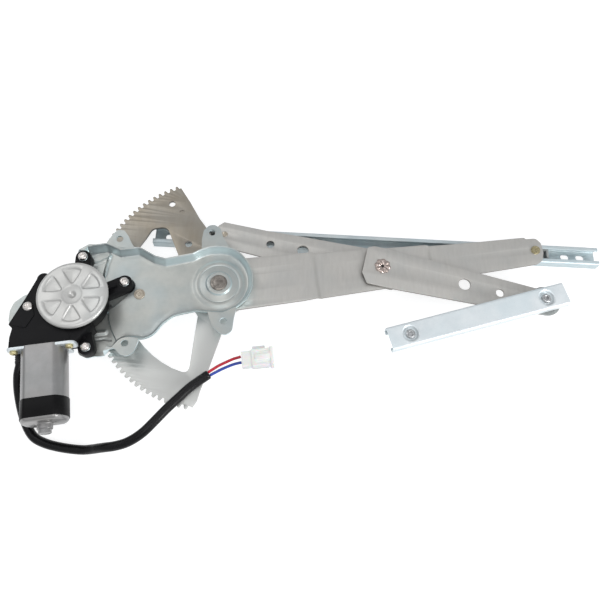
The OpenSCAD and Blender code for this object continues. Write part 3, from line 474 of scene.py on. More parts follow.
def tube(name, curve, radius, material, sides=20):
    """A closed tube along a curve, its ends rounded over."""
    loops, last = [], len(curve) - 1
    bearings = [2 * pi * k / sides for k in range(sides)]
    for i, centre in enumerate(curve):
        ahead = (curve[min(i + 1, last)] - curve[max(i - 1, 0)]).normalized()
        across = ahead.cross(Vector((0, 0, 1))).normalized()
        over = across.cross(ahead)
        inward = 0.2 * radius * (i == 0) - 0.2 * radius * (i == last)
        full, narrow = (centre + inward * ahead, radius), (centre, radius * 0.8)
        for middle, r in [narrow] * (i == 0) + [full] + [narrow] * (i == last):
            loops.append([middle + r * (cos(a) * across + sin(a) * over) for a in bearings])
    return loft(name, loops, material, 50)


# %% Leads
def make_cord(name, route, diameter, material, **facts):
    """One lead, as a tube along its smoothed route."""
    curve = smooth(route, 8)
    piece = tube(name + "_tube", curve, diameter / 2, material)
    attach(piece, "carrier")
    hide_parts(name)
    print(f"{name}: {length_of(curve):.1f} mm long, {diameter} mm thick, {len(curve)} points on its curve")


make_cord("lead_sleeve", SLEEVE_ROUTE, SLEEVE_DIAMETER, "sleeve", far_end="bare", stiffness="stiff",
          lay="loose")
make_cord("red_wire", RED_ROUTE, WIRE_DIAMETER, "red_insulation", far_end="connector",
          stiffness="medium", lay="loose", with_pieces=["connector"])
make_cord("blue_wire", BLUE_ROUTE, WIRE_DIAMETER, "blue_insulation", far_end="connector",
          stiffness="medium", lay="loose", with_pieces=["contacts"])

# %% [markdown]
# ## Arms
# The arms are blanked from thick sheet and joggled: folded up and down again by one sheet's thickness, so that they
# pass over each other at the crossing. The lift arm could be modelled box by box, but drawing the flat blank first, as
# the press does, and then lifting its points over the fold lines gives the right outline and an even thickness. The
# equalizer is drawn as two flat halves at two heights. Each outline is drawn in its own frame and then laid on the CAD
# part's place.

# %% Frames
LIFT = Matrix.Rotation(REST_ANGLE, 4, "Z")
EQUALIZER = Matrix.Translation(CROSSING) @ Matrix.Rotation(-REST_ANGLE, 4, "Z")
MOTOR = Matrix.Translation(PINION) @ Matrix.Rotation(MOTOR_TURN, 4, "Z")
PANEL_RAIL = Matrix.Translation((2 * CROSSING.x, 0, 0)) @ Matrix.Rotation(PANEL_RAIL_ANGLE, 4, "Z")
GLASS_RAIL = Matrix.Translation((CROSSING.x - 2, RAIL_Y, 0))
HERE = Matrix.Identity(4)


# %% Outlines
def ring(x, y, radius, count=32, start=0.0, sweep=2 * pi):
    """Points on a circle or an arc."""
    turned = [polar(radius, start + sweep * k / count) for k in range(count)]
    return [(x + across, y + up) for across, up in turned]


def rectangle(x0, y0, x1, y1):
    """The corners of a rectangle."""
    return [(x0, y0), (x1, y0), (x1, y1), (x0, y1)]


def soft(value, start, end):
    """0 before start, 1 after end, eased between."""
    t = np.clip((value - start) / (end - start), 0, 1)
    return t * t * (3 - 2 * t)


def fillet(points, radius, steps=5):
    """The closed outline with rounded corners. A point may carry its own radius as a third number."""
    out, n = [], len(points)
    for i, point in enumerate(points):
        corner = Vector(point[:2])
        back = Vector(points[i - 1][:2]) - corner
        ahead = Vector(points[(i + 1) % n][:2]) - corner
        own = point[2] if len(point) > 2 else radius
        half = max(back.angle(ahead) / 2, 0.02)
        reach = min(own / tan(half), 0.48 * back.length, 0.48 * ahead.length)
        start, end = corner + back.normalized() * reach, corner + ahead.normalized() * reach
        if reach < 0.02:
            out.append(tuple(corner))
            continue
        for k in range(steps + 1):
            t = k / steps
            out.append(tuple((1 - t) ** 2 * start + 2 * t * (1 - t) * corner + t * t * end))
    return out


# %% Flat blanks with rounded edges
def blank(name, outline, holes, bottom, top, material, edge=0.35):
    """A flat piece between two heights, with holes, its edges rounded as punching leaves them."""
    curve = bpy.data.curves.new(name + "_outline", "CURVE")
    curve.dimensions = "2D"
    curve.fill_mode = "BOTH"
    curve.extrude = ((top - bottom) / 2 - edge) * MM
    curve.bevel_depth = edge * MM
    curve.bevel_resolution = 1
    curve.offset = -edge * MM
    for loop in [outline, *holes]:
        line = curve.splines.new("POLY")
        line.points.add(len(loop) - 1)
        for point, (x, y) in zip(line.points, loop):
            point.co = (x * MM, y * MM, 0, 1)
        line.use_cyclic_u = True
    maker = new_object(name + "_maker", curve)
    mesh = bpy.data.meshes.new_from_object(maker.evaluated_get(bpy.context.evaluated_depsgraph_get()))
    bpy.data.objects.remove(maker)
    mesh.transform(Matrix.Translation((0, 0, (top + bottom) / 2 * MM)))
    mesh.name = name
    obj = new_object(name, mesh)
    paint(obj, material)
    tidy_mesh(obj, 40)
    return obj


def joggle(obj, folds):
    """Bends a flat blank down at folds (x_start, x_end, drop, lean), each across Y with a lean of its own."""
    bm = bmesh.new()
    bm.from_mesh(obj.data)
    for start, end, drop, lean in folds:
        normal = Vector((1, -lean, 0)).normalized()
        for k in range(7):
            x = start + (end - start) * k / 6
            bmesh.ops.bisect_plane(bm, geom=bm.verts[:] + bm.edges[:] + bm.faces[:],
                                   plane_co=(x * MM, 0, 0), plane_no=normal, dist=1e-7)
    for vertex in bm.verts:
        for start, end, drop, lean in folds:
            x = vertex.co.x / MM - lean * vertex.co.y / MM
            vertex.co.z -= drop * MM * soft(x, start, end)
    bm.to_mesh(obj.data)
    bm.free()
    tidy_mesh(obj, 40)


def shift(obj, x, y=0.0):
    """Moves a piece's points in its own frame."""
    obj.data.transform(Matrix.Translation((x * MM, y * MM, 0)))


def place(obj, matrix, body, node):
    """Lays a piece in its frame, rides it on its body and hides the CAD node that it is drawn over."""
    obj.data.transform(Matrix.Translation(matrix.to_translation() * MM) @ matrix.to_3x3().to_4x4())
    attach(obj, body)
    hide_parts(node)
    print(f"{obj.name} on {body}: {len(obj.data.polygons)} faces, "
          f"{obj.dimensions.x / MM:.1f} x {obj.dimensions.y / MM:.1f} x {obj.dimensions.z / MM:.1f} mm")


def join(objs, name):
    """Joins mesh objects into the first one."""
    with bpy.context.temp_override(active_object=objs[0], selected_editable_objects=objs):
        bpy.ops.object.join()
    objs[0].name = name
    return objs[0]


# %% Lift arm
HUB_ARM_Z, MID_Z, REAR_Z, FRONT_Z, SHEET = 21, 17.8, 14.5, 21.1, 2.5
RIVET_CIRCLE = 21


def make_lift_arm():
    far = 2 * ARM_LENGTH
    end = [(far - 8, 15.6, 2), (far - 6, 13.6, 1), (far + 4, 13.2, 5), (far + 8, 7, 5), (far + 7.5, -4, 5),
           (far + 4, -12, 5), (far - 2, -15, 4), (far - 8, -15.4, 2)]
    lower = [(254, -17.6, 30), (160, -22.2, 30), (99, -24, 30), (78, -25.6, 20)]
    upper = [(80, 24.5, 20), (180, 19.8, 30), (260, 16.8, 30)]
    hub = ring(0, 0, 26.95, 22, radians(-92), radians(-176))
    holes = [ring(0, 0, PIVOT_HOLE), ring(ARM_LENGTH, 0, 10.05), ring(far, 0, PIN_HOLE, 24)]
    holes += [ring(*polar(RIVET_CIRCLE, radians(a)), PIN_HOLE, 24) for a in (30, 150, 270)]
    arm = blank("lift_arm_sheet", fillet(end + lower + hub + upper, 0.01, 6), holes, HUB_ARM_Z, HUB_ARM_Z + SHEET,
                "arm_steel")
    joggle(arm, [(91, 97, HUB_ARM_Z - MID_Z, 0.02), (207, 213, MID_Z - REAR_Z, 0.02)])
    place(arm, LIFT, "lift", "lift_arm")


make_lift_arm()


# %% Equalizer
def make_equalizer():
    a = ARM_LENGTH
    rear = [(-a - 10, 0, 6), (-a - 8.5, 8, 1.5), (-a - 4, 13.2, 1.2), (-118, 14, 40), (-85, 16, 30), (-45, 17.6, 30),
            (-5, 19.5, 4), (14, 19.5, 4), (21, 10, 4), (21, -10, 4), (14, -19.5, 4), (-5, -19.5, 4), (-45, -18, 30),
            (-116, -15.4, 30), (-a, -14, 8), (-a - 8, -10, 6)]
    rear_holes = [fillet(rectangle(-6.05, -6.05, 6.05, 6.05), 0.6), ring(-a, 0, PIN_HOLE, 24), ring(-113, 0, 4, 24),
                  ring(-80, 1, 5.6, 28)]
    front = [(-18, 16.5, 3), (-18.5, -11, 1.5), (-12, -21.5, 1.5), (8, -21.6, 6), (100, -18, 40), (a, -13.5, 10),
             (a + 9, -10, 6), (a + 12, 0, 8), (a + 9, 9, 6), (a, 12, 10), (115, 14, 40), (46, 17.6, 40),
             (0, 19.6, 20), (-12, 19.6, 4)]
    front_holes = [ring(0, 0, 7.05, 32), ring(a, 0, PIN_HOLE, 24), ring(81.5, 0, 5.8, 32), ring(116.5, -1, 4, 24)]
    for half, outline, holes, z in (("rear", rear, rear_holes, REAR_Z), ("front", front, front_holes, FRONT_Z)):
        sheet = blank(f"equalizer_{half}_sheet", fillet(outline, 4, 6), holes, z, z + SHEET, "arm_steel")
        place(sheet, EQUALIZER, "equalizer", "equalizer_" + half)


make_equalizer()

# %% [markdown]
# ## Rails
# Both rails are roll-formed C-channels whose lips hold a sliding shoe. A bevelled box with a slot would look alike
# from afar; running the bent sheet's own profile along the length also gives the rounded folds, the lips and the
# open ends, where the sheet's thickness shows. Holes and slots are cut afterwards, as the punch does.


# %% Solids that cut and join
def apply_modifiers(obj):
    """Turns an object with modifiers into a plain mesh."""
    mesh = bpy.data.meshes.new_from_object(obj.evaluated_get(bpy.context.evaluated_depsgraph_get()))
    obj.modifiers.clear()
    obj.data = mesh
    tidy_mesh(obj, 40)


def prism(outline, bottom, top):
    """An upright solid between two heights, for cutting or joining."""
    return loft("prism", [[(x, y, z) for x, y in outline] for z in (bottom, top)], "zinc_plate")


def combine(obj, other, operation="DIFFERENCE"):
    """Cuts another object out of this one, or unites the two."""
    cut = obj.modifiers.new("cut", "BOOLEAN")
    cut.object, cut.operation, cut.solver = other, operation, "EXACT"
    apply_modifiers(obj)
    bpy.data.objects.remove(other)


def slot_outline(x, y, radius, length):
    """A round hole drawn out along X."""
    half, quarter = length / 2, pi / 2
    return ring(x + half, y, radius, 16, -quarter, pi) + ring(x - half, y, radius, 16, quarter, pi)


# %% C-sections
def c_profile(width, depth, sheet, lip, bend):
    """The closed outline of a C-section, web at z = 0, with rounded bends: (y, z) points."""
    h, inner = width / 2, max(bend - sheet, 0.3)
    outer = [(-h, 0, bend), (h, 0, bend), (h, depth, bend), (h - sheet - lip, depth, 0.4)]
    mouth = [(h - sheet - lip, depth - sheet, 0.4), (h - sheet, depth - sheet, inner), (h - sheet, sheet, inner),
             (-h + sheet, sheet, inner), (-h + sheet, depth - sheet, inner), (-h + sheet + lip, depth - sheet, 0.4)]
    return fillet(outer + mouth + [(-h + sheet + lip, depth, 0.4), (-h, depth, bend)], 0.4, 4)


def make_channel(name, profile, start, end, material):
    """A rail along X from its profile."""
    return loft(name, [[(x, y, z) for y, z in profile] for x in (start, end)], material, 40)


# %% Glass rail
def make_glass_rail():
    rail = make_channel("glass_rail_channel", c_profile(20, 11, 1.5, 3, 2.2), -227, 227, "rail_zinc")
    for x in (-212, 212, 196):
        combine(rail, prism(slot_outline(x, 1.5, 2.9, 3), -1, 3))
    place(rail, GLASS_RAIL, "glass_rail", "glass_rail")


make_glass_rail()


# %% Panel rail
PANEL_RAIL_WEB, PANEL_RAIL_MIDDLE, PANEL_RAIL_HALF = 36, -72, 89.5
BOSSES = (PANEL_RAIL_MIDDLE - 69, PANEL_RAIL_MIDDLE + 69)


def make_panel_rail():
    profile = [(y, PANEL_RAIL_WEB - z) for y, z in c_profile(22.5, 10.2, 1.5, 3, 2.4)]
    rail = make_channel("panel_rail_channel", profile, -PANEL_RAIL_HALF, PANEL_RAIL_HALF, "light_zinc")
    shift(rail, PANEL_RAIL_MIDDLE)
    dishes = []
    for x in BOSSES:
        combine(rail, prism(slot_outline(x, 0, 8.4, 0), 30, 40))
        dishes.append(revolve("dish", [(8.5, 35.98), (8.2, 35.7), (7.4, 35.3), (6.6, 33.6), (5.9, 33.05),
                                       (3.05, 33.0), (3.05, 31.8), (6.2, 31.8), (7.4, 32.6), (8.0, 34.2),
                                       (8.5, 34.6)], "light_zinc", 48))
        shift(dishes[-1], x)
    place(join([rail, *dishes], "panel_rail_channel"), PANEL_RAIL, "panel_rail", "panel_rail")


# %% Turned shapes
def revolve(name, section, material, steps=48, sharp=30, closed=True):
    """A solid of revolution about Z from (radius, z) points; a closed section makes a ring."""
    points, faces, n = [], [], len(section)
    for k in range(steps):
        points += [(*polar(r, 2 * pi * k / steps), z) for r, z in section]
        m = (k + 1) % steps
        faces += [(k * n + i, m * n + i, m * n + (i + 1) % n, k * n + (i + 1) % n)
                  for i in range(n if closed else n - 1)]
    return new_mesh(name, points, faces, material, sharp)


def solid(name, section, material, steps=48):
    """A turned piece whose section starts and ends on the axis."""
    return revolve(name, section, material, steps, closed=False)


make_panel_rail()

# %% [markdown]
# ## Mounting plate
# The plate is one deep-pressed sheet with a raised field, a sloping wall round it, a stepped boss at the main
# pivot, stiffening beads and four tabs. Such a form could be sculpted or built from many joined parts. Here it is
# one height over the plan, since a press can only make what has one height at each place: the height is a function,
# the plan is triangulated between the lines where the height changes, and the sheet is thickened at the end.

# %% Plate sizes
FIELD_TOP, SEAT_TOP, RIM_TOP, PLATE_SHEET = 27, 25, 36, 2
WALL_WIDTH = 4.2
FIELD_KNOTS = [(-121, 25.8, 0.01), (-109, 28.6, 4), (-95.4, 23, 3), (-78, 26.2, 5), (-63, 18.2, 5), (-51.4, 15.7, 6),
    (-25, 23, 12), (-18.6, 27.2), (-10, 31), (-1, 32), (8, 31), (17, 26), (23.5, 18), (27.4, 8.5), (28, -2.5),
    (24.6, -13), (18, -21), (5, -28, 9), (-19, -27), (-30, -30), (-40, -33), (-50, -42), (-57, -53), (-64, -56.5),
    (-71, -55.5), (-79, -55.5), (-86, -58.5), (-91, -65.5, 0.01)]
CUP_RADIUS, EAR_RADIUS, RECESS_GAP, EAR_CIRCLE = 26.6, 7.6, 1.2, 45
EAR_BEARINGS = [radians(a) for a in (92.8, 28.3, -71.5)]
EARS = [PINION + EAR_CIRCLE * Vector((*polar(1, a), 0)) for a in EAR_BEARINGS]
TAB_HOLES = [(-97, 38), (-10, 50), (-78, -65.5), (8, -40)]
TABS = [
    [(-108, 27), (-109, 33), (-104, 43), (-100, 47.8), (-94, 47.6), (-89.5, 42), (-86, 35.5), (-80, 27)],
    [(-19, 26), (-18.5, 33), (-19.2, 42), (-18.2, 52), (-13.7, 57.4, 6), (-8.3, 58.8, 6), (-2.4, 54.8), (1.1, 45.5),
     (8, 34.8), (11, 29)],
    [(-92, -69.5), (-84, -62.5), (-79.5, -56.5), (-66.4, -52.5), (-66.4, -63.6), (-69.1, -73.3, 5), (-75, -77.6, 5),
     (-81, -76, 5), (-86, -71)],
    [(-9, -27), (-6, -35, 6), (-1.3, -46.1, 6), (5.4, -51.5, 6), (11, -53.6, 6), (16.6, -49, 6), (17.4, -36.3, 6),
     (19.5, -23), (5, -28)]]
SEAT_EDGE = [(-125, 31), (-104, 31), (-60, 20), (-60, -40), (-80, -67), (-90, -71.5), (-98, -74.5), (-102, -75.4),
    (-106, -75.5), (-113, -77.6), (-120.5, -75.2), (-123, -66), (-150, -62), (-165, -65), (-181, -58), (-189, -46),
    (-189.8, -36), (-187.6, -28), (-180, -20.5), (-166, -14), (-148, -10), (-137, 4), (-139, 16), (-133, 25)]
STOP_RIVET = (-73.3, -14.2)


# %% Plan geometry on arrays of points
def inside(points, polygon):
    """Which points lie in a closed polygon."""
    x, y = points[:, 0], points[:, 1]
    hit = np.zeros(len(points), bool)
    for (x0, y0), (x1, y1) in zip(polygon, polygon[1:] + polygon[:1]):
        crosses = (y0 > y) != (y1 > y)
        if y0 != y1:
            hit ^= crosses & (x < (x1 - x0) * (y - y0) / (y1 - y0) + x0)
    return hit


def distance(points, line, closed=False):
    """Distance of points to a polyline, positive on its left."""
    best = np.full(len(points), 1e9)
    side = np.ones(len(points))
    pairs = list(zip(line, line[1:])) + ([(line[-1], line[0])] if closed else [])
    for start, end in pairs:
        a, d = np.array(start, float), np.array(end, float) - np.array(start, float)
        t = np.clip(((points - a) @ d) / (d @ d), 0, 1)
        away = points - a - t[:, None] * d
        gap = np.hypot(away[:, 0], away[:, 1])
        nearer = gap < best - 1e-9
        best = np.where(nearer, gap, best)
        side = np.where(nearer, np.sign(d[0] * away[:, 1] - d[1] * away[:, 0]), side)
    return best * side


def beside(line, aside):
    """The polyline moved to its left, without the points that come too near it."""
    moved = []
    for i, (x, y) in enumerate(line):
        ahead = Vector(line[min(i + 1, len(line) - 1)]) - Vector(line[max(i - 1, 0)])
        left = Vector((-ahead.y, ahead.x)).normalized()
        moved.append((x + aside * left.x, y + aside * left.y))
    gaps = np.abs(distance(np.array(moved), line))
    return [p for p, gap in zip(moved, gaps) if gap > abs(aside) - 0.05]


FIELD_CURVE = fillet(FIELD_KNOTS, 20, 6)
SLOPE_END = (-98.7, -32.8)
STEP_WIDTH, SLOPE_WIDTH = 1.2, 6.0
HEM_ENDS, HEM_BEND, HEM_DROP = (-116, -86), (66.5, 71.5), 1.2


def motor_recess():
    """Outline of the low part under the gear housing and round its right ear."""
    cup = CUP_RADIUS + RECESS_GAP
    ear = EAR_RADIUS + 0.5
    bearing = EAR_BEARINGS[1]
    half = asin(ear / cup)
    arc_above = ring(PINION.x, PINION.y, cup, 10, radians(48), bearing + half - radians(48))
    nose = ring(EARS[1].x, EARS[1].y, ear, 16, bearing + pi / 2, radians(-42) - bearing - pi / 2)
    outside_left = [(-200, 40), (-106, 40), (-106, 26), (-107.5, 4)]
    below = [SLOPE_END, (-97.3, -41.8), (-93.1, -51.5), (-88.1, -60.1), (-84, -70), (-84, -90), (-200, -90)]
    return outside_left + arc_above + nose + below


RECESS = motor_recess()


# %% Height of the plate's front face
BEADS = [([(-106.0, 22.8), (-107.6, 13), (-108.2, 4)], 1.7, 0.5, 2.6),
         ([(-106.6, 21.5), (-111, 20), (-114.2, 17.2), (-121, 14.5)], 0.9, 0.4, 2.2),
         ([(-114, -54.8), (-100, -52.7)], 1.3, 0.5, 3.2), ([(-108, -60.9), (-99, -59), (-94, -60)], -0.8, 0.2, 1.1)]


def boss_height(radius):
    """The drawn boss round the main pivot, above the field: a soft shoulder, a ring groove and a collar."""
    groove = 0.55 * np.exp(-(((radius - 18.8) / 0.55) ** 2))
    return 1.6 * (1 - soft(radius, 20.8, 25.8)) - groove + 2.0 * (1 - soft(radius, 10.9, 12.9))


def plate_height(points):
    """Height of the front face over plan points, in millimetres."""
    out_of_recess = np.where(inside(points, RECESS), -1, 1) * np.abs(distance(points, RECESS, True))
    to_slope = np.abs(distance(points, [tuple(EARS[1].xy + Vector((6.1, -5.5))), SLOPE_END]))
    width = np.where(to_slope < np.abs(out_of_recess) + 0.05, SLOPE_WIDTH, STEP_WIDTH)
    floor = SEAT_TOP + (FIELD_TOP - SEAT_TOP) * soft(out_of_recess, -width, 0.0)
    floor += boss_height(np.hypot(points[:, 0], points[:, 1]))
    for line, lift, flat, reach in BEADS:
        floor += lift * (1 - soft(np.abs(distance(points, line)), flat, reach))
    hem = (points[:, 0] > HEM_ENDS[0]) & (points[:, 0] < HEM_ENDS[1])
    floor -= np.where(hem, HEM_DROP * soft(-points[:, 1], *HEM_BEND), 0.0)
    out_of_field = distance(points, FIELD_CURVE)
    rise = soft(out_of_field, -0.6, WALL_WIDTH)
    return floor + (RIM_TOP - floor) * rise


# %% Triangulation
def fill_points(low, high, step):
    """Plan points on a triangular grid."""
    row = 0.866 * step
    return [(low[0] + step * (i + 0.5 * (j % 2)), low[1] + row * j)
            for j in range(int((high[1] - low[1]) / row) + 1) for i in range(int((high[0] - low[0]) / step) + 1)]


def triangulate(lines, extra, keep):
    """Triangles between closed or open lines and extra points, where keep says so: (points, faces)."""
    coords, edges = [], []
    for line, closed in lines:
        first, n = len(coords), len(line)
        coords += [Vector(p) for p in line]
        edges += [(first + k, first + (k + 1) % n) for k in range(n if closed else n - 1)]
    coords += [Vector(p) for p in extra]
    points, _, faces, _, _, _ = delaunay_2d_cdt(coords, edges, [], 0, 1e-4)
    plan = np.array([tuple(p) for p in points])
    centres = np.array([plan[list(f)].mean(0) for f in faces])
    chosen = [f for f, k in zip(faces, keep(centres)) if k]
    used = sorted({i for f in chosen for i in f})
    new_index = {old: new for new, old in enumerate(used)}
    return plan[used], [tuple(new_index[i] for i in f) for f in chosen]


def thicken(obj, thickness, edge):
    """Gives a sheet its thickness below its face and rounds its cut edges."""
    sheet = obj.modifiers.new("sheet", "SOLIDIFY")
    sheet.thickness, sheet.offset, sheet.use_even_offset = thickness * MM, -1, False
    rim = obj.modifiers.new("rim", "BEVEL")
    rim.width, rim.segments = edge * MM, 2
    rim.limit_method, rim.angle_limit = "ANGLE", radians(55)
    apply_modifiers(obj)


# %% The plate
WALL_FOOT = WALL_WIDTH + 0.3
WALL_LINES = (-0.6, 0, 0.7, 1.4, 2.1, 2.8, 3.5, WALL_WIDTH, WALL_FOOT)
WIDE_STEP, FINE_STEP = 2.4, 0.8
BOSS_MIDDLE, BOSS_REACH = 18.4, 8.4
BOSS_RINGS = (10.9, 11.4, 11.9, 12.4, 12.9, 17.8, 18.3, 18.8, 19.3, 19.8, 20.8, 21.8, 22.8, 23.8, 24.8, 25.8)


def grid_points():
    """A wide grid over the field, and a fine one where the recess and the beads change the height."""
    wide = np.array(fill_points((-192, -86), (36, 60), WIDE_STEP))
    clear = np.abs(distance(wide, FIELD_CURVE)) > 4.6
    clear &= np.abs(np.hypot(wide[:, 0], wide[:, 1]) - BOSS_MIDDLE) > BOSS_REACH
    fine = np.array(fill_points((-126, -80), (-74, 34), FINE_STEP))
    close = (np.abs(distance(fine, RECESS, True)) < 6.5) & (np.abs(distance(fine, FIELD_CURVE)) > 1)
    for line, _, _, reach in BEADS:
        close |= np.abs(distance(fine, line)) < reach + 1
    return [tuple(p) for p in wide[clear]] + [tuple(p) for p in fine[close]]


def make_plate():
    tabs = [fillet(tab, 3, 4) for tab in TABS]
    holes = [ring(x, y, 3.3, 28) for x, y in TAB_HOLES] + [ring(ear.x, ear.y, 3.3, 24) for ear in EARS]
    holes += [ring(*STOP_RIVET, PIN_HOLE, 24), ring(0, 0, PIVOT_HOLE, 48), ring(PINION.x, PINION.y, 15.5, 48)]
    seat = fillet(SEAT_EDGE, 6, 4)
    parts = [FIELD_CURVE, FIELD_CURVE + beside(FIELD_CURVE, WALL_FOOT)[::-1], ring(0, 0, 29, 48)] + tabs

    def keep(centres):
        low = inside(centres, RECESS) | (np.abs(distance(centres, RECESS, True)) < 2)
        kept = inside(centres, seat) & low
        for part in parts:
            kept |= inside(centres, part)
        for hole in holes:
            kept &= ~inside(centres, hole)
        return kept

    lines = [(line, True) for line in tabs + holes + [seat, RECESS]]
    lines += [(beside(FIELD_CURVE, s), False) for s in WALL_LINES]
    lines += [(ring(0, 0, r, 72), True) for r in BOSS_RINGS]
    plan, faces = triangulate(lines, grid_points(), keep)
    points = [(x, y, z) for (x, y), z in zip(plan, plate_height(plan))]
    plate = new_mesh("mounting_plate_sheet", points, faces, "zinc_plate", 60)
    if plate.data.polygons[0].normal.z < 0:
        plate.data.flip_normals()
    thicken(plate, PLATE_SHEET, 0.3)
    place(plate, HERE, "carrier", "mounting_plate")


make_plate()

# %% [markdown]
# ## Sets of equal pieces
# A regulator is full of sets: three mounting screws, two flange screws, six recesses in the cover, eight petals
# of the crimped rivet, two threaded bosses. One tree of Geometry Nodes lays one piece on every point of a mesh,
# so that each member of a set is the same mesh, and a seeded turn leaves screw slots at chance angles.


# %% The repeat tree
def repeat_tree():
    """Lays a piece on each point of a mesh, turned by the point's bearing and a seeded share of a wobble."""
    tree = bpy.data.node_groups.new("repeat", "GeometryNodeTree")
    for label, kind in (("Geometry", "Geometry"), ("Piece", "Object"), ("Wobble", "Float"), ("Seed", "Int"),
                        ("Material", "Material")):
        tree.interface.new_socket(label, in_out="INPUT", socket_type="NodeSocket" + kind)
    tree.interface.new_socket("Geometry", in_out="OUTPUT", socket_type="NodeSocketGeometry")
    given, result, piece, chance, bearing, total, turn, lay, real, paint_all = (tree.nodes.new(kind) for kind in (
        "NodeGroupInput", "NodeGroupOutput", "GeometryNodeObjectInfo", "FunctionNodeRandomValue",
        "GeometryNodeInputNamedAttribute", "ShaderNodeMath", "ShaderNodeCombineXYZ", "GeometryNodeInstanceOnPoints",
        "GeometryNodeRealizeInstances", "GeometryNodeSetMaterial"))
    bearing.inputs["Name"].default_value = "bearing"
    total.operation = "MULTIPLY_ADD"
    for source, output, target, socket in (
            (given, "Piece", piece, "Object"), (given, "Seed", chance, "Seed"), (chance, 1, total, 0),
            (given, "Wobble", total, 1), (bearing, 0, total, 2), (total, 0, turn, "Z"),
            (given, "Geometry", lay, "Points"), (piece, "Geometry", lay, "Instance"), (turn, 0, lay, "Rotation"),
            (lay, 0, real, 0), (real, 0, paint_all, "Geometry"), (given, "Material", paint_all, "Material"),
            (paint_all, 0, result, 0)):
        tree.links.new(source.outputs[output], target.inputs[socket])
    return tree


REPEAT = repeat_tree()


def repeat(name, piece, places, material, wobble=0.0, seed=1):
    """One plain mesh with the piece laid at each (x, y, bearing) place."""
    mesh = bpy.data.meshes.new(name)
    mesh.from_pydata([Vector((x, y, 0)) * MM for x, y, _ in places], [], [])
    mesh.attributes.new("bearing", "FLOAT", "POINT").data.foreach_set("value", [turn for _, _, turn in places])
    obj = new_object(name, mesh)
    layer = obj.modifiers.new("repeat", "NODES")
    layer.node_group = REPEAT
    values = {"Piece": piece, "Wobble": wobble, "Seed": seed, "Material": finish[material]}
    for item in REPEAT.interface.items_tree:
        if item.in_out == "INPUT" and item.name in values:
            layer[item.identifier] = values[item.name]
    apply_modifiers(obj)
    bpy.data.objects.remove(piece)
    print(f"{name}: a set of {len(places)}, {len(obj.data.polygons)} faces")
    return obj


def cross(half, width):
    """Outline of a cross slot."""
    w = width / 2
    return [(half, -w), (half, w), (w, w), (w, half), (-w, half), (-w, w), (-half, w), (-half, -w), (-w, -w),
            (-w, -half), (w, -half), (w, -w)]


# %% [markdown]
# ## Gear sector
# The sector is fine-blanked from 3 mm steel, teeth and window in one stroke. Its teeth are the short-addendum
# involute teeth of the CAD part, drawn again with a small fillet at the root and a broken tip corner, because
# those two edges are what catches the light along a row of teeth.

# %% Gear sector
SECTOR_Z, SECTOR_SHEET = 18, 3
TEETH, TOOTH_STEP = 49, radians(3)
FIRST_TOOTH = PINION_BEARING - 25.5 * TOOTH_STEP
PITCH_RADIUS, ROOT_RADIUS, TIP_RADIUS, PRESSURE = 120, 117, 120.6, radians(20)
TOOTH_WIDTH = pi - 2 * tan(PRESSURE) - 0.15


def half_tooth(radius):
    """Half the angle of a tooth at a radius."""
    base = PITCH_RADIUS * cos(PRESSURE)
    slope = acos(min(1, base / max(radius, base)))
    return TOOTH_WIDTH / (2 * PITCH_RADIUS) + tan(PRESSURE) - PRESSURE - tan(slope) + slope


def tooth_points(middle):
    """One tooth, from its lower flank over the tip to its upper flank."""
    flank = [(ROOT_RADIUS, half_tooth(ROOT_RADIUS) + 0.4 / ROOT_RADIUS)]
    flank += [(r, half_tooth(r)) for r in (117.4, 118.2, 119, 119.7, 120.25)]
    flank += [(TIP_RADIUS, half_tooth(TIP_RADIUS) - 0.35 / TIP_RADIUS)]
    lower = [polar(r, middle - a) for r, a in flank]
    return lower + [polar(r, middle + a) for r, a in reversed(flank)]


def make_sector():
    def arc(radius, start, end, step):
        return [(*polar(radius, radians(a)), 0.01) for a in range(start, end, step)]

    teeth = [p for k in range(TEETH) for p in tooth_points(FIRST_TOOTH + k * TOOTH_STEP)]
    outline = [(-19, 64), (-26, 73), (-37, 91), (-48, 107)] + teeth + [
        (-14.5, -117), (-11, -111), (-9, -102), (-3, -81), (6, -46)] + ring(
        0, 0, 30, 20, radians(-62), radians(147)) + [(0, 34)]
    window = fillet([(-57, 62, 8), (-71, 59, 7)] + arc(89.9, 148, 247, 7) + [
        (-21, -87.4, 7), (-19, -50, 20), (-17.8, -31, 3)] + arc(34, 233, 155, -11) + [(-36, 17, 3)], 1, 6)
    holes = [window, ring(0, 0, 15, 40), ring(-55, 88, 3.2, 28), ring(-34, 44, 3.5, 28)]
    sector = blank("gear_sector_sheet", outline, holes, SECTOR_Z, SECTOR_Z + SECTOR_SHEET, "sector_steel", 0.15)
    combine(sector, prism(ring(-44, 79, 2.4, 24), SECTOR_Z + 2.3, SECTOR_Z + 5))
    place(sector, HERE, "lift", "gear_sector")


make_sector()

# %% [markdown]
# ## Motor gearbox
# The housing is one moulding of glass-filled nylon: a cup for the worm wheel, a flat shoulder over the worm and
# three ears. It is built from flat blanks and turned rings and united, so that it stays one closed skin.

# %% Gear housing
HOUSING_Z, HOUSING_TOP, COLLAR_TOP, EAR_TOP = 25.3, 47.5, 50.7, 37
HOUSING_SCREW = (-39.8, -4.2)
MOTOR_AXIS = MOTOR @ Matrix.Translation((-28.5, 0, 37)) @ Matrix.Rotation(pi / 2, 4, "X")
CAN_START, CAN_END, CAN_RADIUS, CAN_HALF = 41.8, 108.3, 19.6, 15


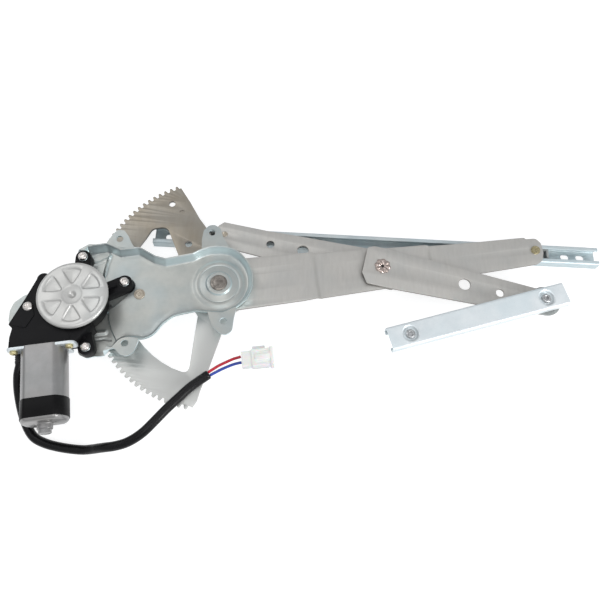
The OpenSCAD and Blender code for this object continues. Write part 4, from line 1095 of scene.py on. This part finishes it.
def make_ear(bearing):
    """A keyhole-shaped ear with a gusset up to the cup, along a bearing in the motor's frame."""
    r, near, far = EAR_RADIUS - 0.5, 22, EAR_CIRCLE
    outline = [(near, -r), (far, -r)] + ring(far, 0, r, 18, -pi / 2, pi)[1:] + [(far, r), (near, r)]
    ear = blank("ear", outline, [], HOUSING_Z, EAR_TOP, "black_plastic", 0.9)
    gusset = [(near, 36), (38.5, 36), (37.5, 38.2), (27.5, 43), (near, 43)]
    rib = loft("gusset", [[(x, y, z) for x, z in gusset] for y in (-1.6, 1.6)], "black_plastic")
    combine(ear, rib, "UNION")
    combine(ear, prism(ring(far, 0, 4.45, 28), HOUSING_Z - 1, EAR_TOP + 1))
    ear.data.transform(Matrix.Rotation(bearing, 4, "Z"))
    return ear


def make_housing():
    shoulder = fillet([(-31.5, 24.5), (-42.5, 5), (-57, -18.5), (-53.8, -22.5), (-56, -31), (-56.8, -CAN_START),
                       (-1, -CAN_START), (14, -29), (0, 26)], 1.5)
    body = blank("gear_housing_body", shoulder, [], HOUSING_Z, HOUSING_TOP, "black_plastic", 1.2)
    cup = solid("cup", [(0, HOUSING_Z), (25.6, HOUSING_Z), (26.1, 26.3), (26.1, 45.5), (29.3, 47), (29.3, COLLAR_TOP),
                        (0, COLLAR_TOP)], "black_plastic", 96)
    knob = solid("knob", [(0, 27), (6, 27), (6, 46.6), (5.2, 47.4), (0, 47.4)], "black_plastic", 32)
    shift(knob, -26.8, 21.5)
    pad = prism(fillet([(-50, -9), (-44.5, -1), (-36, -1), (-34.5, -13), (-42, -24), (-53, -20)], 2), 46, 48.2)
    step = prism(fillet([(-53, -29), (-48, -27), (-8, -31), (-4, -37), (-6, -41), (-54, -41)], 1), 46, 47.9)
    for other in (cup, knob, pad, step, *(make_ear(bearing - MOTOR_TURN) for bearing in EAR_BEARINGS)):
        combine(body, other, "UNION")
    for x, y, radius, count, low, high in ((0, 0, 25, 64, 29, 60), (0, 0, 13, 48, 20, 40),
                                           (*HOUSING_SCREW, 2.05, 20, 36, 60)):
        combine(body, prism(ring(x, y, radius, count), low, high))
    place(body, MOTOR, "carrier", "gear_housing")
    paint(body, "black_plastic")


make_housing()

# %% [markdown]
# ## Pressed cover
# A stamped zinc-plated cap with six recesses that stiffen it. The recesses are sloping pans, so their walls, not
# their floors, draw the pattern: those towards the light are bright, those away from it dark.

# %% Housing cover
COVER_TOP, RECESSES, FIRST_RECESS, RECESS_MIDDLE = 54.3, 6, radians(98.5), 19


def recess_cutter():
    """A rounded wedge pan, wider at its mouth."""
    outline = fillet([(10.4, -1.2, 1.8), (10.4, 1.2, 1.8), (23.6, 8.7, 3), (25.4, 4.6, 20), (25.9, 0, 20),
                      (25.4, -4.6, 20), (23.6, -8.7, 3)], 2, 5)
    steps = ((-1.5, 0.8), (-1.35, 0.87), (-0.25, 0.985), (0.02, 1.05), (1, 1.08))
    return loft("pan", [[(RECESS_MIDDLE + share * (x - RECESS_MIDDLE), share * y, COVER_TOP + up) for x, y in outline]
                        for up, share in steps], "cover_metal")


def make_cover():
    t = COVER_TOP
    cover = solid("housing_cover_cap", [
        (0, t - 2.9), (1.2, t - 2.9), (2.2, t - 2.2), (3.0, t - 1.2), (4.2, t - 0.75), (7.8, t - 0.75),
        (8.8, t - 0.3), (9.8, t), (29.0, t), (30.3, t - 0.35), (31.1, t - 1.0), (31.5, t - 2.0), (31.5, 51.3),
        (29.6, 51.3), (29.6, t - 2.6), (0, t - 4)], "cover_metal", 128)
    places = [(0, 0, FIRST_RECESS - MOTOR_TURN + k * 2 * pi / RECESSES) for k in range(RECESSES)]
    combine(cover, repeat("pans", recess_cutter(), places, "cover_metal"))
    paint(cover, "cover_metal")
    place(cover, MOTOR, "carrier", "housing_cover")


make_cover()

# %% [markdown]
# ## Screws and rivets
# Screws and rivets are cold-headed: a wire's end is pressed into a head. As the die is round, their heads are turned
# sections here, and their sockets and slots are cut into them. The crossing rivet is crimped by a star-shaped
# punch: one petal is drawn, and its set of eight closes round the centre.


# %% Screws
def make_screw(section, socket, low, high, material):
    """A screw with its socket or slot cut between two heights."""
    screw = solid("screw", section, material, 32)
    combine(screw, prism(socket, low, high))
    return screw


def make_screws():
    e, h, c = EAR_TOP, HOUSING_TOP, CAN_START
    ears = [(*ear.xy, 0) for ear in EARS]
    screw = make_screw([(0, 22), (3, 22), (3, e + 0.55), (4.2, e + 0.55), (4.2, e + 1.6), (3.9, e + 2.4),
                        (3.2, e + 3), (2.3, e + 3.3), (0, e + 3.35)], ring(0, 0, 1.9, 6), e + 1.9, e + 5,
                       "bright_steel")
    place(repeat("motor_screw_set", screw, ears, "bright_steel", 1.0, 4), HERE, "carrier", "motor_screws")
    sleeve = revolve("sleeve", [(3.15, 25), (4.4, 25), (4.4, 37.2), (4.1, 37.5), (3.15, 37.5)], "zinc_plate", 32)
    place(repeat("ear_sleeve_set", sleeve, ears, "zinc_plate"), HERE, "carrier", "ear_sleeves")
    small = make_screw([(0, 38), (2, 38), (2, h + 0.02), (4.4, h + 0.02), (4.4, h + 1), (3.9, h + 1.9),
                        (2.9, h + 2.5), (0, h + 2.7)], cross(2.6, 0.9), h + 1.2, h + 4, "bright_steel")
    small.data.transform(Matrix.Rotation(0.35, 4, "Z"))
    shift(small, *HOUSING_SCREW)
    small.name = "housing_screw_head"
    place(small, MOTOR, "carrier", "housing_screw")
    yellow = make_screw([(0, c - 6), (1.35, c - 6), (1.35, c + 2.52), (3.4, c + 2.52), (3.4, c + 3.9),
                         (3.0, c + 4.8), (2.1, c + 5.2), (0, c + 5.2)], cross(2.4, 0.8), c + 4, c + 7, "yellow_zinc")
    pair = repeat("flange_screw_set", yellow, [(-23.5, 9, 0), (23.5, 9, 0)], "yellow_zinc", 1.4, 7)
    place(pair, MOTOR_AXIS, "carrier", "flange_screws")


make_screws()


# %% Rivets and pins
PINS = [
    ("stop_rivet", "carrier", HERE, STOP_RIVET, "rivet_steel", 40, [
        (0, 18.4), (5.5, 18.4), (5.5, 22.7), (3, 22.7), (3, 27.02), (5.2, 27.02), (5.2, 27.5), (4.9, 27.85),
        (4.3, 27.95), (3.9, 27.7), (3.4, 27.9), (1.8, 27.95), (1.3, 27.6), (0, 27.6)]),
    ("pivot_pin", "carrier", HERE, (0, 0), "pin_steel", 64, [
        (0, 18.2), (14, 18.2), (14, 20.7), (8, 20.7), (8, 30.8), (7.7, 31.4), (6.9, 31.8), (5.6, 32.0), (4.9, 31.85),
        (4.2, 32.05), (2.4, 32.3), (0, 32.4)]),
    ("lift_roller_pin", "lift", LIFT, (2 * ARM_LENGTH, 0), "aged_zinc", 36, [
        (0, 3.2), (3, 3.2), (3, 17), (4.6, 17), (4.6, 17.8), (4.2, 18.3), (3.3, 18.5), (2.4, 18.2), (0, 18.3)]),
    ("upper_roller_pin", "equalizer", EQUALIZER, (-ARM_LENGTH, 0), "rivet_steel", 36, [
        (0, 3.2), (3, 3.2), (3, 17), (2.7, 17.2), (1.9, 17.2), (1.5, 16.8), (0, 16.8)]),
    ("lower_roller_pin", "equalizer", EQUALIZER, (ARM_LENGTH, 0), "pin_steel", 36, [
        (0, 19.8), (4.6, 19.8), (5, 20.2), (5, 21.09), (3, 21.09), (3, 30.1), (2.7, 30.4), (0, 30.4)]),
]


def make_pins():
    for node, body, matrix, at, material, steps, section in PINS:
        pin = solid(node.replace("roller_pin", "roller") + "_turned", section, material, steps)
        shift(pin, *at)
        place(pin, matrix, body, node)


make_pins()


# %% Crimped crossing rivet
PETALS = 8


def petal_wedge():
    """One petal of the star crimp with its share of the valley on both sides, open at its sides."""
    base, reach, columns = 23.62, pi / PETALS, 8
    shares = [0.0, 0.12, 0.2, 0.27, 0.34, 0.45, 0.6, 0.75, 0.87, 0.95, 1.0]
    points = []
    for j in range(columns + 1):
        a = -reach + 2 * reach * j / columns
        petal = 0.5 + 0.5 * cos(PETALS * a)
        outer = 7.1 + 0.9 * petal
        for share in shares:
            rise = sin(pi * min(max((share - 0.22) / 0.78, 0), 1)) ** 0.6
            points.append((*polar(share * outer, a), base + 0.2 + 1.55 * rise * (0.35 + 0.65 * petal)))
        points += [(*polar(outer, a), base), (0, 0, base)]
    n = len(shares) + 2
    faces = [(j * n + i, (j + 1) * n + i, (j + 1) * n + i + 1, j * n + i + 1)
             for j in range(columns) for i in range(n - 1)]
    return new_mesh("petal", points, faces, "crimp_steel", 60)


def make_crossing():
    turns = [(0, 0, 2 * pi * k / PETALS) for k in range(PETALS)]
    petals = repeat("crossing_crimp", petal_wedge(), turns, "crimp_steel")
    tidy_mesh(petals, 60)
    # Painted shade: a dark disc in the crimp's centre, standing for the shade there.
    shade_disc = solid("crossing_centre", [(0, 23.2), (1.5, 23.2), (1.5, 23.95), (0, 23.95)], "dark_steel", 24)
    shank = solid("crossing_shank", [(0, 13.1), (10.6, 13.1), (11, 13.5), (11, 14.49), (5.9, 14.49), (5.9, 17.02),
                                     (10, 17.02), (10, 21.09), (7, 21.09), (7, 23.6), (0, 23.6)], "pin_steel", 48)
    for piece in (petals, shade_disc, shank):
        place(piece, EQUALIZER, "equalizer", "crossing_rivet")


make_crossing()

# %% [markdown]
# ## Motor can
# A deep-drawn steel can with two flat sides, closed by a stepped bearing boss. One skin runs from the boss along
# the outside to the open end and back along the inside, since a drawn can has the same wall all over.


# %% Double-D loops
LOOP_POINTS, SOFTEN, CAN_WALL = 160, 0.45, 1.8


def double_d(z, radius, half_flat):
    """A loop of a circle with two flat sides, its four corners softened as drawing leaves them."""
    loop = []
    for k in range(LOOP_POINTS):
        a = 2 * pi * (k + 0.5) / LOOP_POINTS
        flat = half_flat / max(abs(sin(a)), 1e-3)
        low, high = min(radius, flat), max(radius, flat)
        r = low - SOFTEN * log(1 + exp(-(high - low) / SOFTEN))
        loop.append((*polar(r, a), z))
    return loop


def can_loop(z, wider=0.0):
    """A loop of the can's own section, a little wider or narrower."""
    return double_d(z, CAN_RADIUS + wider, CAN_HALF + wider)


def make_can():
    wide, e, s = 400, CAN_END, CAN_START + 0.05
    end_boss = [(8.2, 0.45), (8.6, 1.6), (8.7, 2.4), (8.7, 4.6), (8.5, 5.0), (8.1, 5.4), (5.2, 5.45), (5.0, 6.3),
                (4.6, 6.55), (1.3, 6.6), (0.5, 7.1), (0, 8.4)]
    loops = [double_d(e + up, r, wide) for up, r in end_boss]
    loops += [double_d(e - 0.05, 14.5, 11), double_d(e - 0.2, 16.4, 12.2)]
    loops += [can_loop(e - 3.4 + 3.2 * cos(a), -2.9 * (1 - sin(a)))
              for a in (0.25, 0.55, 0.85, 1.15, 1.4, pi / 2)]
    loops += [can_loop(z) for z in (e - 8, e - 30, s)] + [can_loop(z, -CAN_WALL) for z in (s, e - 30, e - CAN_WALL)]
    loops += [double_d(e + up, r, wide) for up, r in ((-CAN_WALL, 4.9), (4.9, 4.9), (4.9, 0.5))]
    place(loft("motor_can_shell", loops, "can_steel", 28), MOTOR_AXIS, "carrier", "motor_can")
    outline = fillet([(-28.5, 2, 4), (-28.5, 14.5, 4), (29.5, 14.5, 6), (29.5, 0, 6), (21.5, 0, 1), (21.5, -14, 2),
                      (-19.5, -14, 2), (-19.5, 2, 1)], 2, 6)
    hole = [(x, y) for x, y, _ in can_loop(0, -1.7)]
    flange = blank("motor_can_flange", outline, [hole], CAN_START + 0.02, CAN_START + 2.5, "light_zinc", 0.4)
    place(flange, MOTOR_AXIS, "carrier", "motor_can")
    start, end, wall = e - 19.8, e - 3.3, 0.5
    band = [can_loop(z, out) for z, out in ((start, 0.05), (start, wall - 0.15), (start + 0.3, wall),
                                            (end - 0.3, wall), (end, wall - 0.15), (end, 0.05))]
    place(loft("can_band_strip", band, "band_tape", 28, True), MOTOR_AXIS, "carrier", "can_band")


make_can()


# %% Lead boot
def make_boot():
    section = [(0, -7), (2.6, -7), (2.6, 0.02), (4.3, 0.02), (4.5, 0.3)]
    for z in (0.8, 2.6, 4.4):
        section += [(4.5, z), (4.05, z + 0.5), (4.05, z + 1.0), (4.5, z + 1.5)]
    section += [(4.5, 7.4), (4.35, 8), (0, 8)]
    boot = solid("lead_boot_moulding", section, "black_rubber", 40)
    place(boot, MOTOR @ Matrix.Translation((-52.6, -CAN_START - 0.02, 29)) @ Matrix.Rotation(pi / 2, 4, "X"),
          "carrier", "lead_boot")


make_boot()

# %% [markdown]
# ## Connector
# A two-way plug housing in natural nylon: a narrow block where the wires enter, a wider mating shell with a latch
# along one side and a rim round its mouth.

# %% Connector
PLUG = Matrix.Translation((27, -75, 31)) @ Matrix.Rotation(radians(9), 4, "Z")


def block(x0, x1, y0, y1, z0, z1, edge=0.5, corner=0.6, name="block"):
    """A block with rounded edges and corners."""
    return blank(name, fillet(rectangle(x0, y0, x1, y1), corner, 3), [], z0, z1, "milky_nylon", edge)


def make_connector():
    plug = block(0.05, 12, -7, 7, -5, 5, name="connector_housing")
    for shell in ((9, 28.8, -7.9, 7.9, -5.9, 5.9), (25.8, 29, -8.75, 8.75, -6.75, 6.75),
                  (10.2, 21.8, 6, 11.3, -2.8, 2.8), (12, 26, -2.6, 2.6, 4, 6.6, 0.3, 0.5)):
        combine(plug, block(*shell), "UNION")
    grooves = [(13, 24.5, y - 0.6, y + 0.6, 5.4, 7, 0.1, 0.2) for y in (-5.2, 5.2)]
    ways = [(1, 14, y - 1.6, y + 1.9, -2.6, -0.9, 0.1, 0.2) for y in (-2.9, 3.4)]
    for opening in ((12, 31, -6.4, 6.4, -4.4, 4.4, 0.2, 0.3), (13, 19, 8.6, 13, -1.4, 1.4, 0.1, 0.2), *grooves,
                    *ways):
        combine(plug, block(*opening))
    place(plug, PLUG, "carrier", "connector")


make_connector()

# %% [markdown]
# ## Shoes and threaded bosses
# The shoes are moulded acetal blocks that fill the rails, with slots that let their sides give. The panel rail's shoe
# carries a wide disc, of which a sliver shows beside the rail. The short rail is bolted to the door by two threaded
# bosses that sit in dished holes. Plain blanks with rounded edges are enough for the shoes, as they hide inside
# the rails; the bosses stand in full view and are turned.


# %% Shoes
def make_shoe(name, node, matrix, outline, slots, bottom, top, turned, steps):
    """A shoe's block, joined with the turned collar or disc round its pin hole."""
    holes = [fillet(slot, 0.5) for slot in slots] + [ring(0, 0, PIN_HOLE, 28)]
    shoe = blank(name, fillet(outline, 2.5), holes, bottom, top, "shoe_plastic", 0.5)
    place(join([shoe, revolve("turned", turned, "shoe_plastic", steps)], name), matrix, node, node)


def make_shoes():
    collar = [(PIN_HOLE, 9), (4.8, 9), (4.8, 13.7), (4.4, 14.1), (PIN_HOLE, 14.1)]
    slots = [rectangle(x - 2.5, -4.5, x + 2.5, 4.5) for x in (-12, 12)]
    for side, x in (("left", 0), ("right", 2 * CROSSING.x)):
        make_shoe(side + "_shoe_block", side + "_shoe", Matrix.Translation((x, RAIL_Y, 0)),
                  rectangle(-17, -8.15, 17, 8.15), slots, 1.8, 9.2, collar, 32)
    disc = [(PIN_HOLE, 24.1), (13.8, 24.1), (14.7, 24.25), (15, 24.6), (15, 24.95), (14.7, 25.3), (13.6, 25.4),
            (12.8, 25.1), (4.8, 25.1), (4.8, 27.8), (PIN_HOLE, 27.8)]
    make_shoe("lower_shoe_block", "lower_shoe", PANEL_RAIL, rectangle(-15, -9.4, 15, 9.4), [], 27.6, 31, disc, 72)


make_shoes()


# %% Threaded bosses
def make_bosses():
    nut = solid("nut", [(0, 31.8), (3.05, 31.8), (3.05, 33.05), (4.5, 33.05), (4.6, 34.2), (4.3, 34.9), (3.7, 35.4),
                        (2.9, 35.65), (2.4, 35.6), (2.1, 35.3), (2.1, 34.2), (0, 34.0)], "nut_steel", 36)
    pair = repeat("panel_rail_boss_set", nut, [(x, 0, 0) for x in BOSSES], "nut_steel")
    place(pair, PANEL_RAIL, "panel_rail", "panel_rail_nuts")


make_bosses()

# %% [markdown]
# ## Finish
# The visual model has to stay inside the solids' box, because the room that the part needs is taken from them.

# %% Boxes and the end
visual_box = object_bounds()
for axis in range(3):
    solids, looks = (corner_pair[1][axis] - corner_pair[0][axis] for corner_pair in (cad_box, visual_box))
    print(f"{'XYZ'[axis]}: solids {solids / MM:.1f} mm, looks {looks / MM:.1f} mm")
